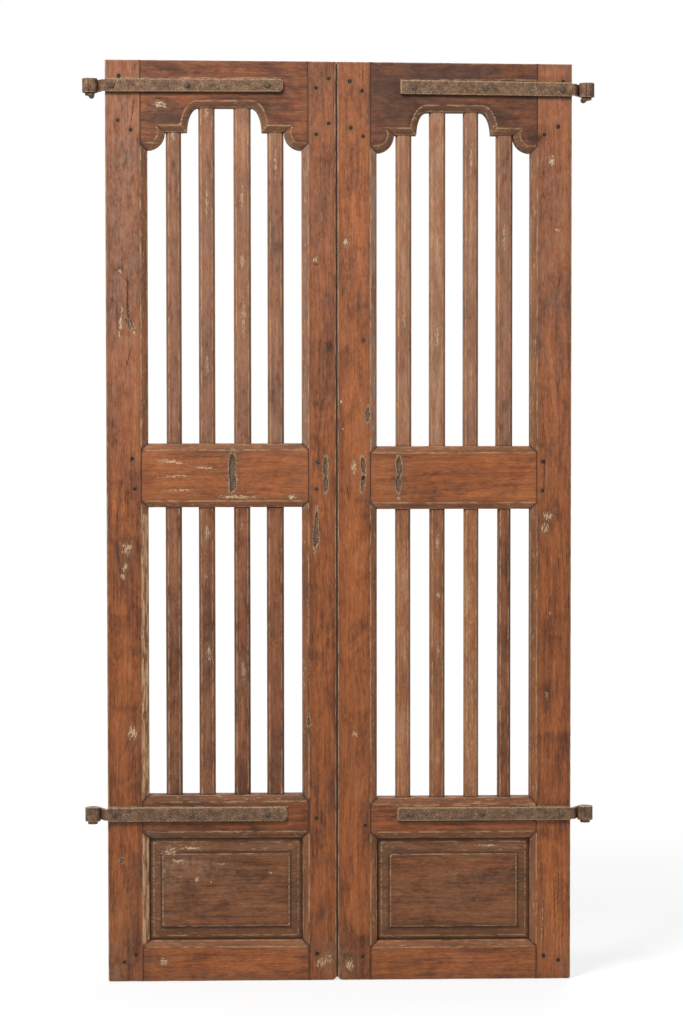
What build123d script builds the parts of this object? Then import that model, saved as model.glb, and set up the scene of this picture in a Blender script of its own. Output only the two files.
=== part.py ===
from build123d import *
import os
from types import SimpleNamespace

# A pair of old framed door leaves with open bars above a raised panel, hung on iron strap hinges.
# +Z is up, the strap side faces -Y, and the origin is on the floor at the middle of the whole footprint.
# Lengths are in millimetres. In a leaf, u runs from its hinge edge towards the seam between the leaves.

os.makedirs("parts", exist_ok=True)

# Wood sections shared by both leaves
leaf_thickness = 38.0
light_width = 308.0
seam_gap = 2.2
seam_relief = 1.0
bevel_width = 13.0
bevel_depth = 6.0
arris = 1.2

# Joints of the frame
tenon_thickness = 14.0
tenon_shoulder = 14.0
tenon_haunch = 24.0
tenon_stop = 8.0
peg_across = 6.0
peg_clearance = 0.1
peg_sides = 8
hinge_corner_round = 5.0
seam_corner_round = 10.0

# Bars
bar_depth = 20.0
bar_setback = 8.0
bar_pitch = 68.0
bar_housing = 12.0
bar_arris = 5.0

# Cusped arch of the top rail
ear_radius = 35.0
arch_foot_half = 74.0
arch_crown_half = 53.5

# Raised panel
groove_depth = 10.0
panel_edge = 10.0
panel_play = 0.8
field_setback = 6.0
field_step = 2.0
margin_side = 25.0
margin_top = 31.0
margin_bottom = 27.0
margin_quirk = 1.0

# Strap hinges
strap_thickness = 7.0
strap_arris = 1.0
top_strap_drop = 51.0
eye_radius = 15.5
bore_radius = 7.5
eye_height = 29.0
eye_seam_radius = 2.6
eye_round = 1.6
pivot_out = 30.0
neck_height = 24.0
neck_lap = 10.0
neck_clearance = 4.0
neck_bend = 6.0

# Clout nails
nail_across = 4.6
nail_clearance = 0.1
nail_grip = 24.0
nail_head_across = 12.5
nail_head_crown = 6.0
nail_head_rim = 1.0
nail_head_height = 3.0
nail_head_sides = 8

# Pintles
pin_clearance = 0.05
pin_short = 1.0
shoulder_clearance = 0.3
shoulder_width = 20.0
shoulder_thickness = 5.0
arm_width = 13.0
arm_clearance = 1.0
shank_radius = 6.0
shank_length = 46.0

# The left leaf as it was made, heights from the floor.
# A peg is given by its distance from the light and its share of the tenon's height.
left_hinge_stile_width = 83.0
left_meeting_stile_width = 68.5
left_top_at_hinge = 1845.0
left_top_at_seam = 1842.0
left_arch_step = 1702.0
left_arch_crown = 1750.5
left_lock_rail = (954.0, 1082.0)
left_lower_rail = (289.0, 376.0)
left_bottom_rail = 82.0
left_upper_bars = ((0.5, 31.0), (-1.5, 33.0), (1.5, 35.0), (0.0, 33.0))
left_lower_bars = ((-1.0, 33.0), (-2.5, 33.0), (0.0, 33.0), (-1.5, 35.0))
left_hinge_pegs = {
    "top_rail": ((57.6, 0.32), (31.5, 0.18), (54.8, 0.96)),
    "lock_rail": ((31.8, 0.83), (27.2, 0.23)),
    "lower_rail": ((30.0, 0.43),),
    "bottom_rail": ((26.6, 0.74), (50.9, 0.47)),
}
left_seam_pegs = {
    "top_rail": ((29.0, 0.79), (28.9, 0.12), (54.3, 0.93), (54.2, 0.28)),
    "lock_rail": ((31.4, 0.75), (28.7, 0.22)),
    "lower_rail": ((27.9, 0.43),),
    "bottom_rail": ((29.1, 0.74),),
}
left_bottom_strap_drop = 38.0
left_top_strap = SimpleNamespace(rise=0.0, width=27.0, length=355.0, end_round=9.0)
left_top_strap.nails = (14.0, 164.0, 323.0)
left_bottom_strap = SimpleNamespace(rise=0.0, width=30.0, length=361.0, end_round=12.0)
left_bottom_strap.nails = (14.0, 169.0, 321.0)

# The right leaf as it was made, heights from the floor
right_hinge_stile_width = 82.5
right_meeting_stile_width = 79.5
right_top_at_hinge = 1838.0
right_top_at_seam = 1842.0
right_arch_step = 1697.0
right_arch_crown = 1742.5
right_lock_rail = (949.5, 1076.0)
right_lower_rail = (286.0, 368.5)
right_bottom_rail = 79.0
right_upper_bars = ((0.0, 34.0), (-0.5, 31.0), (-1.5, 33.0), (-2.0, 32.0))
right_lower_bars = ((-0.5, 27.0), (-2.0, 30.0), (-1.5, 31.0), (-0.5, 31.0))
right_hinge_pegs = {
    "top_rail": ((64.8, 0.92), (54.8, 0.27), (26.8, 0.16)),
    "lock_rail": ((26.3, 0.82), (24.8, 0.23)),
    "lower_rail": ((28.0, 0.6),),
    "bottom_rail": ((28.1, 0.64), (58.3, 0.46)),
}
right_seam_pegs = {
    "top_rail": ((54.5, 0.92), (28.8, 0.78), (51.6, 0.25), (27.1, 0.13)),
    "lock_rail": ((28.0, 0.5),),
    "lower_rail": ((24.0, 0.24),),
    "bottom_rail": ((29.4, 0.64),),
}
right_bottom_strap_drop = 32.5
right_top_strap = SimpleNamespace(rise=4.5, width=29.0, length=344.0, end_round=4.0)
right_top_strap.nails = (20.0, 174.0, 316.0)
right_bottom_strap = SimpleNamespace(rise=0.0, width=28.0, length=351.0, end_round=6.0)
right_bottom_strap.nails = (20.0, 180.0, 323.0)

# Widths and depths that follow from the sizes above
left_width = left_hinge_stile_width + light_width + left_meeting_stile_width
right_width = right_hinge_stile_width + light_width + right_meeting_stile_width
seam_x = (left_width - right_width) / 2
pivot_set_back = eye_radius - strap_thickness
front_reach = leaf_thickness / 2 + strap_thickness + nail_head_height
back_reach = 2 * eye_radius + arm_clearance + shank_length - strap_thickness - leaf_thickness / 2
middle_y = (front_reach - back_reach) / 2
front_y = middle_y - leaf_thickness / 2
back_y = middle_y + leaf_thickness / 2
strap_y = front_y - strap_thickness
pivot_y = front_y + pivot_set_back
bar_front_y = front_y + bar_setback
field_y = front_y + field_setback
panel_front_y = middle_y - panel_edge / 2
panel_back_y = middle_y + panel_edge / 2
left_top_strap.height = left_top_at_hinge - top_strap_drop
right_top_strap.height = right_top_at_hinge - top_strap_drop
left_bottom_strap.height = left_lower_rail[1] - left_bottom_strap_drop
right_bottom_strap.height = right_lower_rail[1] - right_bottom_strap_drop

left = SimpleNamespace(
    name="left",
    inward=1,
    edge_x=seam_x - seam_gap / 2 - left_width,
    hinge_stile=left_hinge_stile_width,
    width=left_width,
    top_at_hinge=left_top_at_hinge,
    top_at_seam=left_top_at_seam,
    arch_step=left_arch_step,
    arch_crown=left_arch_crown,
    lock_rail=left_lock_rail,
    lower_rail=left_lower_rail,
    bottom_rail=left_bottom_rail,
    upper_bars=left_upper_bars,
    lower_bars=left_lower_bars,
    hinge_pegs=left_hinge_pegs,
    seam_pegs=left_seam_pegs,
    straps={"top_strap": left_top_strap, "bottom_strap": left_bottom_strap},
)
right = SimpleNamespace(
    name="right",
    inward=-1,
    edge_x=seam_x + seam_gap / 2 + right_width,
    hinge_stile=right_hinge_stile_width,
    width=right_width,
    top_at_hinge=right_top_at_hinge,
    top_at_seam=right_top_at_seam,
    arch_step=right_arch_step,
    arch_crown=right_arch_crown,
    lock_rail=right_lock_rail,
    lower_rail=right_lower_rail,
    bottom_rail=right_bottom_rail,
    upper_bars=right_upper_bars,
    lower_bars=right_lower_bars,
    hinge_pegs=right_hinge_pegs,
    seam_pegs=right_seam_pegs,
    straps={"top_strap": right_top_strap, "bottom_strap": right_bottom_strap},
)


def x_at(leaf, u):
    """The x of a place u from the leaf's hinge edge."""
    return leaf.edge_x + leaf.inward * u


def top_at(leaf, u):
    """The leaf's height at u: its top was never quite square."""
    return leaf.top_at_hinge + (leaf.top_at_seam - leaf.top_at_hinge) * u / leaf.width


def light_start(leaf):
    return leaf.hinge_stile


def light_end(leaf):
    return leaf.hinge_stile + light_width


def light_middle(leaf):
    return leaf.hinge_stile + light_width / 2


def flat(leaf, corners, y):
    """A face at depth y with these corners in u and z."""
    with BuildSketch(Plane.XZ.offset(-y)) as face:
        with BuildLine():
            Polyline(*[(x_at(leaf, u), z) for u, z in corners], close=True)
        make_face()
    return face.sketch


def block(u_low, u_high, z_low, z_high):
    """Corners of a rectangle in u and z."""
    return [(u_low, z_low), (u_high, z_low), (u_high, z_high), (u_low, z_high)]


def across(leaf, corners, u):
    """A face square to the leaf's width at u, with these corners in y and z."""
    with BuildSketch(Plane.YZ.offset(x_at(leaf, u))) as face:
        with BuildLine():
            Polyline(*corners, close=True)
        make_face()
    return face.sketch


def plan(leaf, corners, z):
    """A level face at height z with these corners in u and y."""
    with BuildSketch(Plane.XY.offset(z)) as face:
        with BuildLine():
            Polyline(*[(x_at(leaf, u), y) for u, y in corners], close=True)
        make_face()
    return face.sketch


def cut_ends(leaf, places, across, sides, y):
    """Regular polygons measured across their flats, at depth y and at these places in u and z."""
    with BuildSketch(Plane.XZ.offset(-y)) as face:
        with Locations(*[(x_at(leaf, u), z) for u, z in places]):
            RegularPolygon(across / 2, sides, major_radius=False, rotation=180 / sides)
    return face.sketch


def rail_tenons(leaf):
    """The height range of each rail's tenons."""
    ear_low = leaf.arch_step - ear_radius
    top_low = min(leaf.top_at_hinge, leaf.top_at_seam)
    return {
        "top_rail": (ear_low + tenon_shoulder, top_low - tenon_haunch),
        "lock_rail": (leaf.lock_rail[0] + tenon_shoulder, leaf.lock_rail[1] - tenon_shoulder),
        "lower_rail": (leaf.lower_rail[0] + tenon_shoulder, leaf.lower_rail[1] - tenon_shoulder),
        "bottom_rail": (tenon_shoulder, leaf.bottom_rail - tenon_shoulder),
    }


def rail_pegs(leaf, rail):
    """Where the pegs of a rail's two tenons stand, in u and z."""
    low, high = rail_tenons(leaf)[rail]
    hinge_side = [(light_start(leaf) - inset, share) for inset, share in leaf.hinge_pegs[rail]]
    seam_side = [(light_end(leaf) + inset, share) for inset, share in leaf.seam_pegs[rail]]
    return [(u, low + share * (high - low)) for u, share in hinge_side + seam_side]


def strap_height(strap, u):
    """The middle of a strap at u: one strap climbs a little towards its end."""
    return strap.height + strap.rise * u / strap.length


def strap_nails(leaf, name):
    strap = leaf.straps[name]
    return [(u, strap_height(strap, u)) for u in strap.nails]


def all_nails(leaf):
    return [place for name in leaf.straps for place in strap_nails(leaf, name)]


def within(places, u_low, u_high, z_low, z_high):
    return [(u, z) for u, z in places if u_low < u < u_high and z_low < z < z_high]


def wing(leaf, u_sight, outward, low, high, low_mitre, high_mitre):
    """The front tongue by which a rail laps its stile, mitred where a bevel turns the corner."""
    u_quirk = u_sight + outward * bevel_width
    return [
        (u_sight, low),
        (u_sight, high),
        (u_quirk, high - high_mitre * bevel_width),
        (u_quirk, low + low_mitre * bevel_width),
    ]


def rail_laps(leaf, u_sight, outward):
    """The laps of all four rails on one stile."""
    quirk_top = max(leaf.top_at_hinge, leaf.top_at_seam)
    return [
        wing(leaf, u_sight, outward, leaf.arch_step - ear_radius, quirk_top, 1, 0),
        wing(leaf, u_sight, outward, leaf.lock_rail[0], leaf.lock_rail[1], 1, 1),
        wing(leaf, u_sight, outward, leaf.lower_rail[0], leaf.lower_rail[1], 1, 1),
        wing(leaf, u_sight, outward, 0, leaf.bottom_rail, 0, 1),
    ]


def bar_places(leaf, bars):
    """Middle and width of each bar."""
    first = light_middle(leaf) - bar_pitch * (len(bars) - 1) / 2
    return [(first + bar_pitch * i + shift, width) for i, (shift, width) in enumerate(bars)]


def bar_section(leaf, u, width, z):
    """A bar's section with its front arrises taken off."""
    y_low = bar_front_y
    y_high = bar_front_y + bar_depth
    half = width / 2
    corners = [
        (u - half + bar_arris, y_low),
        (u + half - bar_arris, y_low),
        (u + half, y_low + bar_arris),
        (u + half, y_high),
        (u - half, y_high),
        (u - half, y_low + bar_arris),
    ]
    return plan(leaf, corners, z)


def bar_top(leaf, u, width):
    """Where the rail's arch meets a bar at u."""
    reach = abs(u - light_middle(leaf)) + width / 2
    return leaf.arch_crown if reach < arch_crown_half else leaf.arch_step


def make_stile(leaf, name, u_edge, u_sight, corner_round):
    outward = -1 if u_edge < u_sight else 1
    back_edge = u_edge if outward < 0 else u_edge - seam_relief
    highest = max(leaf.top_at_hinge, leaf.top_at_seam)
    with BuildPart() as stile:
        # the outer edge is eased on both faces, and the meeting edge leans back to clear its neighbour
        section = [
            (u_sight, front_y),
            (u_edge - outward * arris, front_y),
            (u_edge, front_y + arris),
            (back_edge, back_y - arris),
            (back_edge - outward * arris, back_y),
            (u_sight, back_y),
        ]
        extrude(plan(leaf, section, 0), amount=highest)
        top = [(u_edge, top_at(leaf, u_edge)), (u_sight, top_at(leaf, u_sight))]
        with BuildSketch(Plane.XZ.offset(-back_y)) as outline:
            with BuildLine():
                Polyline(*[(x_at(leaf, u), z) for u, z in [(u_sight, 0), (u_edge, 0), *top]], close=True)
            make_face()
            outer_foot = outline.vertices().sort_by_distance((x_at(leaf, u_edge), back_y, 0))[0]
            fillet(outer_foot, radius=corner_round)
        extrude(amount=leaf_thickness, mode=Mode.INTERSECT)
        # bevel along the lights, then the seats of the rails' laps
        bevel = [
            (u_sight, front_y),
            (u_sight + outward * bevel_width, front_y),
            (u_sight, front_y + bevel_depth),
        ]
        extrude(plan(leaf, bevel, 0), amount=highest, mode=Mode.SUBTRACT)
        for lap in rail_laps(leaf, u_sight, outward):
            extrude(flat(leaf, lap, front_y + bevel_depth), amount=bevel_depth, mode=Mode.SUBTRACT)
        # mortises for the tenons and the groove for the panel
        u_mortise = u_edge - outward * tenon_stop
        for low, high in rail_tenons(leaf).values():
            mortise = flat(leaf, block(u_sight, u_mortise, low, high), middle_y + tenon_thickness / 2)
            extrude(mortise, amount=tenon_thickness, mode=Mode.SUBTRACT)
        u_groove = u_sight + outward * groove_depth
        groove = block(u_sight, u_groove, leaf.bottom_rail - groove_depth, leaf.lower_rail[0] + groove_depth)
        extrude(flat(leaf, groove, panel_back_y), amount=panel_edge, mode=Mode.SUBTRACT)
        # peg holes and nail holes
        pegs = [peg for rail in rail_tenons(leaf) for peg in rail_pegs(leaf, rail)]
        u_low, u_high = min(u_edge, u_sight), max(u_edge, u_sight)
        own_pegs = within(pegs, u_low, u_high, 0, highest)
        peg_holes = cut_ends(leaf, own_pegs, peg_across + 2 * peg_clearance, peg_sides, back_y)
        extrude(peg_holes, amount=leaf_thickness, mode=Mode.SUBTRACT)
        cut_nail_holes(leaf, u_low, u_high, 0, highest)
    save(stile, leaf.name + "_" + name)


def save(builder, node):
    builder.part.label = node
    export_step(builder.part, "parts/" + node + ".step")


def arch_outline(leaf):
    """The top rail's face between its shoulders, cusped below and level above."""
    middle = light_middle(leaf)
    half = light_width / 2
    step = leaf.arch_step
    rise = leaf.arch_crown - step
    cove = arch_foot_half - arch_crown_half
    with BuildSketch(Plane.XZ.offset(-back_y)) as face:
        with BuildLine():
            for side in (-1, 1):
                outer = x_at(leaf, middle + side * half)
                toward = -side * leaf.inward
                ear_end = outer + toward * ear_radius
                foot = x_at(leaf, middle + side * arch_foot_half)
                crown = x_at(leaf, middle + side * arch_crown_half)
                turn = 90 if toward > 0 else -90
                CenterArc((outer, step), ear_radius, -90, turn)
                Line((ear_end, step), (foot, step))
                quarter = 90 if toward > 0 else 0
                EllipticalCenterArc((crown, step), cove, rise, start_angle=quarter, arc_size=90)
                Line((outer, step - ear_radius), (outer, top_at(leaf, middle + side * half)))
            Line(
                (x_at(leaf, middle - arch_crown_half), leaf.arch_crown),
                (x_at(leaf, middle + arch_crown_half), leaf.arch_crown),
            )
            Line(
                (x_at(leaf, middle - half), top_at(leaf, middle - half)),
                (x_at(leaf, middle + half), top_at(leaf, middle + half)),
            )
        make_face()
    return face.sketch


def rail_bevel(leaf, u_low, u_high, z_sight, upward):
    """The wedge taken off a rail's front along a sight edge."""
    corners = [
        (front_y, z_sight),
        (front_y, z_sight + upward * bevel_width),
        (front_y + bevel_depth, z_sight),
    ]
    length = leaf.inward * (u_high - u_low)
    extrude(across(leaf, corners, u_low), amount=length, mode=Mode.SUBTRACT)


def add_tenons(leaf, rail):
    low, high = rail_tenons(leaf)[rail]
    for u_shoulder, u_end in (
        (light_start(leaf), tenon_stop),
        (light_end(leaf), leaf.width - tenon_stop),
    ):
        tenon = flat(leaf, block(u_shoulder, u_end, low, high), middle_y + tenon_thickness / 2)
        extrude(tenon, amount=tenon_thickness)
    holes = cut_ends(leaf, rail_pegs(leaf, rail), peg_across + 2 * peg_clearance, peg_sides, back_y)
    extrude(holes, amount=leaf_thickness, mode=Mode.SUBTRACT)


def cut_nail_holes(leaf, u_low, u_high, z_low, z_high):
    """Blind square holes for the nails that enter this stretch of wood."""
    nails = within(all_nails(leaf), u_low, u_high, z_low, z_high)
    if nails:
        depth = nail_grip - strap_thickness
        holes = cut_ends(leaf, nails, nail_across + 2 * nail_clearance, 4, front_y + depth)
        extrude(holes, amount=depth, mode=Mode.SUBTRACT)


def make_top_rail(leaf):
    start = light_start(leaf)
    end = light_end(leaf)
    ear_low = leaf.arch_step - ear_radius
    with BuildPart() as rail:
        extrude(arch_outline(leaf), amount=leaf_thickness)
        front_face = rail.faces().sort_by(Axis.Y)[0]
        below = leaf.arch_crown + 1
        arch_edges = front_face.edges().filter_by(lambda edge: edge.center().Z < below and not (
            edge.geom_type == GeomType.LINE and abs(edge.tangent_at(0.5).Z) > 0.5))
        chamfer(arch_edges, length=bevel_width, length2=bevel_depth, reference=front_face)
        for u_sight, outward in ((start, -1), (end, 1)):
            u_quirk = u_sight + outward * bevel_width
            lap = [
                (u_sight, ear_low),
                (u_sight, top_at(leaf, u_sight)),
                (u_quirk, top_at(leaf, u_quirk)),
                (u_quirk, ear_low + bevel_width),
            ]
            with BuildPart(mode=Mode.PRIVATE) as lap_piece:
                extrude(flat(leaf, lap, front_y + bevel_depth), amount=bevel_depth)
                rail_bevel(leaf, u_sight, u_quirk, ear_low, 1)
            add(lap_piece.part)
        add_tenons(leaf, "top_rail")
        for u, width in bar_places(leaf, leaf.upper_bars):
            housing_top = bar_top(leaf, u, width) + bar_housing
            extrude(bar_section(leaf, u, width, ear_low), amount=housing_top - ear_low, mode=Mode.SUBTRACT)
        cut_nail_holes(leaf, 0, leaf.width, ear_low, leaf.top_at_hinge)
    save(rail, leaf.name + "_top_rail")


def make_rail(leaf, name, low, high, low_bevel, high_bevel):
    start = light_start(leaf)
    end = light_end(leaf)
    with BuildPart() as rail:
        extrude(flat(leaf, block(start, end, low, high), back_y), amount=leaf_thickness)
        for u_sight, outward in ((start, -1), (end, 1)):
            lap = wing(leaf, u_sight, outward, low, high, low_bevel, high_bevel)
            extrude(flat(leaf, lap, front_y + bevel_depth), amount=bevel_depth)
        if low_bevel:
            rail_bevel(leaf, start - bevel_width, end + bevel_width, low, 1)
        if high_bevel:
            rail_bevel(leaf, start - bevel_width, end + bevel_width, high, -1)
        add_tenons(leaf, name)
        if name in ("lock_rail", "lower_rail"):
            bars_above = leaf.upper_bars if name == "lock_rail" else leaf.lower_bars
            for u, width in bar_places(leaf, bars_above):
                foot = bar_section(leaf, u, width, high - bar_housing)
                extrude(foot, amount=bar_housing, mode=Mode.SUBTRACT)
        if name == "lock_rail":
            for u, width in bar_places(leaf, leaf.lower_bars):
                extrude(bar_section(leaf, u, width, low), amount=bar_housing, mode=Mode.SUBTRACT)
        if name == "lower_rail":
            groove = block(start, end, low, low + groove_depth)
            extrude(flat(leaf, groove, panel_back_y), amount=panel_edge, mode=Mode.SUBTRACT)
        if name == "bottom_rail":
            groove = block(start, end, high - groove_depth, high)
            extrude(flat(leaf, groove, panel_back_y), amount=panel_edge, mode=Mode.SUBTRACT)
        cut_nail_holes(leaf, 0, leaf.width, low, high)
    save(rail, leaf.name + "_" + name)


def make_panel(leaf):
    start, end = light_start(leaf), light_end(leaf)
    low, high = leaf.bottom_rail, leaf.lower_rail[0]
    tongue = groove_depth - panel_play
    left_foot, right_foot = start + margin_quirk, end - margin_quirk
    low_foot, high_foot = low + margin_quirk, high - margin_quirk
    margin_y = field_y + field_step
    with BuildPart() as panel:
        board = block(start - tongue, end + tongue, low - tongue, high + tongue)
        extrude(flat(leaf, board, panel_back_y), amount=panel_edge)
        raised = block(left_foot, right_foot, low_foot, high_foot)
        extrude(flat(leaf, raised, panel_front_y), amount=panel_front_y - margin_y)
        # the margins slope from the foot of the raised part up to the step round the field
        for foot, crest in ((left_foot, start + margin_side), (right_foot, end - margin_side)):
            wedge = [(foot, panel_front_y), (foot, margin_y), (crest, margin_y)]
            extrude(plan(leaf, wedge, low_foot), amount=high_foot - low_foot, mode=Mode.SUBTRACT)
        for foot, crest in ((low_foot, low + margin_bottom), (high_foot, high - margin_top)):
            wedge = [(panel_front_y, foot), (margin_y, foot), (margin_y, crest)]
            length = leaf.inward * (right_foot - left_foot)
            extrude(across(leaf, wedge, left_foot), amount=length, mode=Mode.SUBTRACT)
        field = block(start + margin_side, end - margin_side, low + margin_bottom, high - margin_top)
        extrude(flat(leaf, field, panel_front_y), amount=panel_front_y - field_y)
    save(panel, leaf.name + "_panel")


def make_bar(leaf, node, u, width, z_low, z_high):
    with BuildPart() as bar:
        extrude(bar_section(leaf, u, width, z_low), amount=z_high - z_low)
    save(bar, node)


def make_pegs(leaf):
    with BuildPart() as pegs:
        for rail in rail_tenons(leaf):
            pegs_here = cut_ends(leaf, rail_pegs(leaf, rail), peg_across, peg_sides, back_y)
            extrude(pegs_here, amount=leaf_thickness)
    save(pegs, leaf.name + "_tenon_pegs")


def eye_section(leaf, z):
    """The rolled eye from above: its two lips leave a shallow seam at the front."""
    with BuildSketch(Plane(origin=(x_at(leaf, -pivot_out), pivot_y, z))) as eye:
        Circle(eye_radius)
        with Locations((0, -eye_radius)):
            Circle(eye_seam_radius, mode=Mode.SUBTRACT)
        fillet(eye.vertices().group_by(Axis.Y)[0], radius=eye_round)
    return eye.sketch


def make_strap(leaf, name):
    """A forged strap: a flat blade, a neck cranked round the leaf's edge, and an eye."""
    strap = leaf.straps[name]
    half = strap.width / 2
    eye_low = strap.height - eye_height / 2
    neck_y = pivot_y + eye_radius - strap_thickness / 2
    blade_y = front_y - strap_thickness / 2
    with BuildPart() as hinge:
        blade = [
            (0, strap.height - half),
            (strap.length, strap.height + strap.rise - half),
            (strap.length, strap.height + strap.rise + half),
            (0, strap.height + half),
        ]
        extrude(flat(leaf, blade, front_y), amount=strap_thickness)
        tip = hinge.edges().filter_by(Axis.Y).sort_by(Axis.X)
        fillet(tip[-2:] if leaf.inward > 0 else tip[:2], radius=strap.end_round)
        rim = hinge.faces().sort_by(Axis.Y)[0].edges()
        inner_end = rim.filter_by(Axis.Z).sort_by(lambda edge: abs(edge.center().X - x_at(leaf, 0)))[0]
        chamfer([edge for edge in rim if edge != inner_end], length=strap_arris)
        extrude(eye_section(leaf, eye_low), amount=eye_height)
        # the neck is the same bar, bent back behind the leaf's face and into the rear of the eye
        bends = [
            (neck_lap, blade_y),
            (-neck_clearance, blade_y),
            (-pivot_out / 2, neck_y),
            (-pivot_out, neck_y),
        ]
        with BuildSketch(Plane.XY.offset(strap.height - neck_height / 2)):
            with BuildLine():
                FilletPolyline(*[(x_at(leaf, u), y) for u, y in bends], radius=neck_bend)
            trace(line_width=strap_thickness)
        extrude(amount=neck_height)
        with BuildSketch(Plane(origin=(x_at(leaf, -pivot_out), pivot_y, eye_low))):
            Circle(bore_radius)
        extrude(amount=eye_height, mode=Mode.SUBTRACT)
        holes = cut_ends(leaf, strap_nails(leaf, name), nail_across + 2 * nail_clearance, 4, front_y)
        extrude(holes, amount=strap_thickness, mode=Mode.SUBTRACT)
    save(hinge, leaf.name + "_" + name)


def make_nails(leaf, name):
    """Hand-cut clout nails: a square shank below a low faceted head."""
    places = strap_nails(leaf, name)
    with BuildPart() as nails:
        extrude(cut_ends(leaf, places, nail_head_across, nail_head_sides, strap_y), amount=nail_head_height)
        crowns = nails.faces().group_by(Axis.Y)[0]
        for crown in crowns:
            slope = nail_head_height - nail_head_rim
            setback = (nail_head_across - nail_head_crown) / 2
            chamfer(crown.edges(), length=setback, length2=slope, reference=crown)
        extrude(cut_ends(leaf, places, nail_across, 4, strap_y + nail_grip), amount=nail_grip)
    save(nails, leaf.name + "_" + name + "_nails")


def make_pintle(leaf, place):
    """The round pin an eye turns on, with the shoulder that carries it and the shank for the jamb."""
    strap = leaf.straps[place + "_strap"]
    x = x_at(leaf, -pivot_out)
    shoulder_top = strap.height - eye_height / 2 - shoulder_clearance
    shoulder_low = shoulder_top - shoulder_thickness
    pin_top = strap.height + eye_height / 2 - pin_short
    arm_back_y = pivot_y + eye_radius + arm_clearance
    with BuildPart() as pintle:
        with BuildSketch(Plane(origin=(x, pivot_y, shoulder_low))) as shoulder:
            Rectangle(shoulder_width, shoulder_width)
            chamfer(shoulder.vertices(), length=shoulder_width / 4)
            with Locations((0, (arm_back_y - pivot_y) / 2)):
                Rectangle(arm_width, arm_back_y - pivot_y)
        extrude(amount=shoulder_thickness)
        with BuildSketch(Plane(origin=(x, pivot_y, shoulder_top))):
            Circle(bore_radius - pin_clearance)
        extrude(amount=pin_top - shoulder_top)
        with BuildSketch(Plane.XZ.offset(-arm_back_y)):
            with Locations((x, shoulder_low + shank_radius)):
                Circle(shank_radius)
        extrude(amount=-shank_length)
    save(pintle, leaf.name + "_" + place + "_pintle")


for leaf in (left, right):
    make_stile(leaf, "hinge_stile", 0, light_start(leaf), hinge_corner_round)
    make_stile(leaf, "meeting_stile", leaf.width, light_end(leaf), seam_corner_round)
    make_top_rail(leaf)
    make_rail(leaf, "lock_rail", leaf.lock_rail[0], leaf.lock_rail[1], 1, 1)
    make_rail(leaf, "lower_rail", leaf.lower_rail[0], leaf.lower_rail[1], 1, 1)
    make_rail(leaf, "bottom_rail", 0, leaf.bottom_rail, 0, 1)
    make_panel(leaf)
    for i, (u, width) in enumerate(bar_places(leaf, leaf.upper_bars)):
        bar_end = bar_top(leaf, u, width) + bar_housing
        node = leaf.name + "_upper_bar_" + str(i + 1)
        make_bar(leaf, node, u, width, leaf.lock_rail[1] - bar_housing, bar_end)
    for i, (u, width) in enumerate(bar_places(leaf, leaf.lower_bars)):
        node = leaf.name + "_lower_bar_" + str(i + 1)
        make_bar(leaf, node, u, width, leaf.lower_rail[1] - bar_housing, leaf.lock_rail[0] + bar_housing)
    make_pegs(leaf)
    for name in leaf.straps:
        make_strap(leaf, name)
        make_nails(leaf, name)
    make_pintle(leaf, "top")
    make_pintle(leaf, "bottom")
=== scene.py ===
"""Looks of an old pair of barred teak door leaves on forged strap hinges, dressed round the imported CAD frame."""

import math
from itertools import product

import bmesh
import bpy
import numpy as np
from mathutils import Matrix, Vector
from mathutils.kdtree import KDTree


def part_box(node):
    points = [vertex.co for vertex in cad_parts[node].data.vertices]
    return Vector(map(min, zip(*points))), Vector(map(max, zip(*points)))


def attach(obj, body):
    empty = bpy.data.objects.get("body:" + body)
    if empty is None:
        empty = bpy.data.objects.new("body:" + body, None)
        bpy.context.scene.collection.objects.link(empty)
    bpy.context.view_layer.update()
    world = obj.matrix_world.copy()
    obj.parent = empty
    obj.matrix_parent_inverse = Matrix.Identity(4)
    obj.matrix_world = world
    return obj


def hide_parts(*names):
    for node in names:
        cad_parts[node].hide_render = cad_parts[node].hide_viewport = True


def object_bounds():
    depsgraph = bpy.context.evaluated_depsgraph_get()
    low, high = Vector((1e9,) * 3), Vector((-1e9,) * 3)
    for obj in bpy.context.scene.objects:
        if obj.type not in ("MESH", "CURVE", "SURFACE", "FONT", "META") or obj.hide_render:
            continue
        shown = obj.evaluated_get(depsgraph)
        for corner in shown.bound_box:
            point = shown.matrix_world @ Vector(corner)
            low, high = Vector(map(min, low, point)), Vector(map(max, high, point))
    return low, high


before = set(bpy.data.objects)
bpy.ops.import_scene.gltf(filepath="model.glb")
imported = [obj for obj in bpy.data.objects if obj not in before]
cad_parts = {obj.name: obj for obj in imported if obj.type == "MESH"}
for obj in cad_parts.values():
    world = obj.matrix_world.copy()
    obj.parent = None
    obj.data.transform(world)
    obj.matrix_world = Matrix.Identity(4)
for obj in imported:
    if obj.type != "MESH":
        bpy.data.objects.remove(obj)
cad_low, cad_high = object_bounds()
MM = 0.001

# The front and back faces of both leaves' framing, and the plane in which a panel's front faces end
front_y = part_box("left_hinge_stile")[0].y
back_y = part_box("left_hinge_stile")[1].y
middle_y = (front_y + back_y) / 2
panel_front_y = middle_y - 0.0049
bevel_width = 13 * MM

# The raised field's edges lie this far inside the panel's own box
field_in_side = 34.2 * MM
field_in_foot = 36.2 * MM
field_in_head = 40.2 * MM

# The meeting edges are full in the middle of their depth, and stand out there by this much
seam_fill = 0.97 * MM
seam_land_y = -18 * MM
seam_land_half = 3.7 * MM
seam_land_fade = 4 * MM
seam_cuts = [-0.0245, -0.0215, seam_land_y, -0.0145]

# The pins' places and the radii of the eyes, of their bores and of the pins
pin_out = 495.85 * MM
pin_y = -22 * MM
eye_radius = 15.5 * MM
bore_radius = 7.5 * MM
pin_radius = 7.45 * MM

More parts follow.
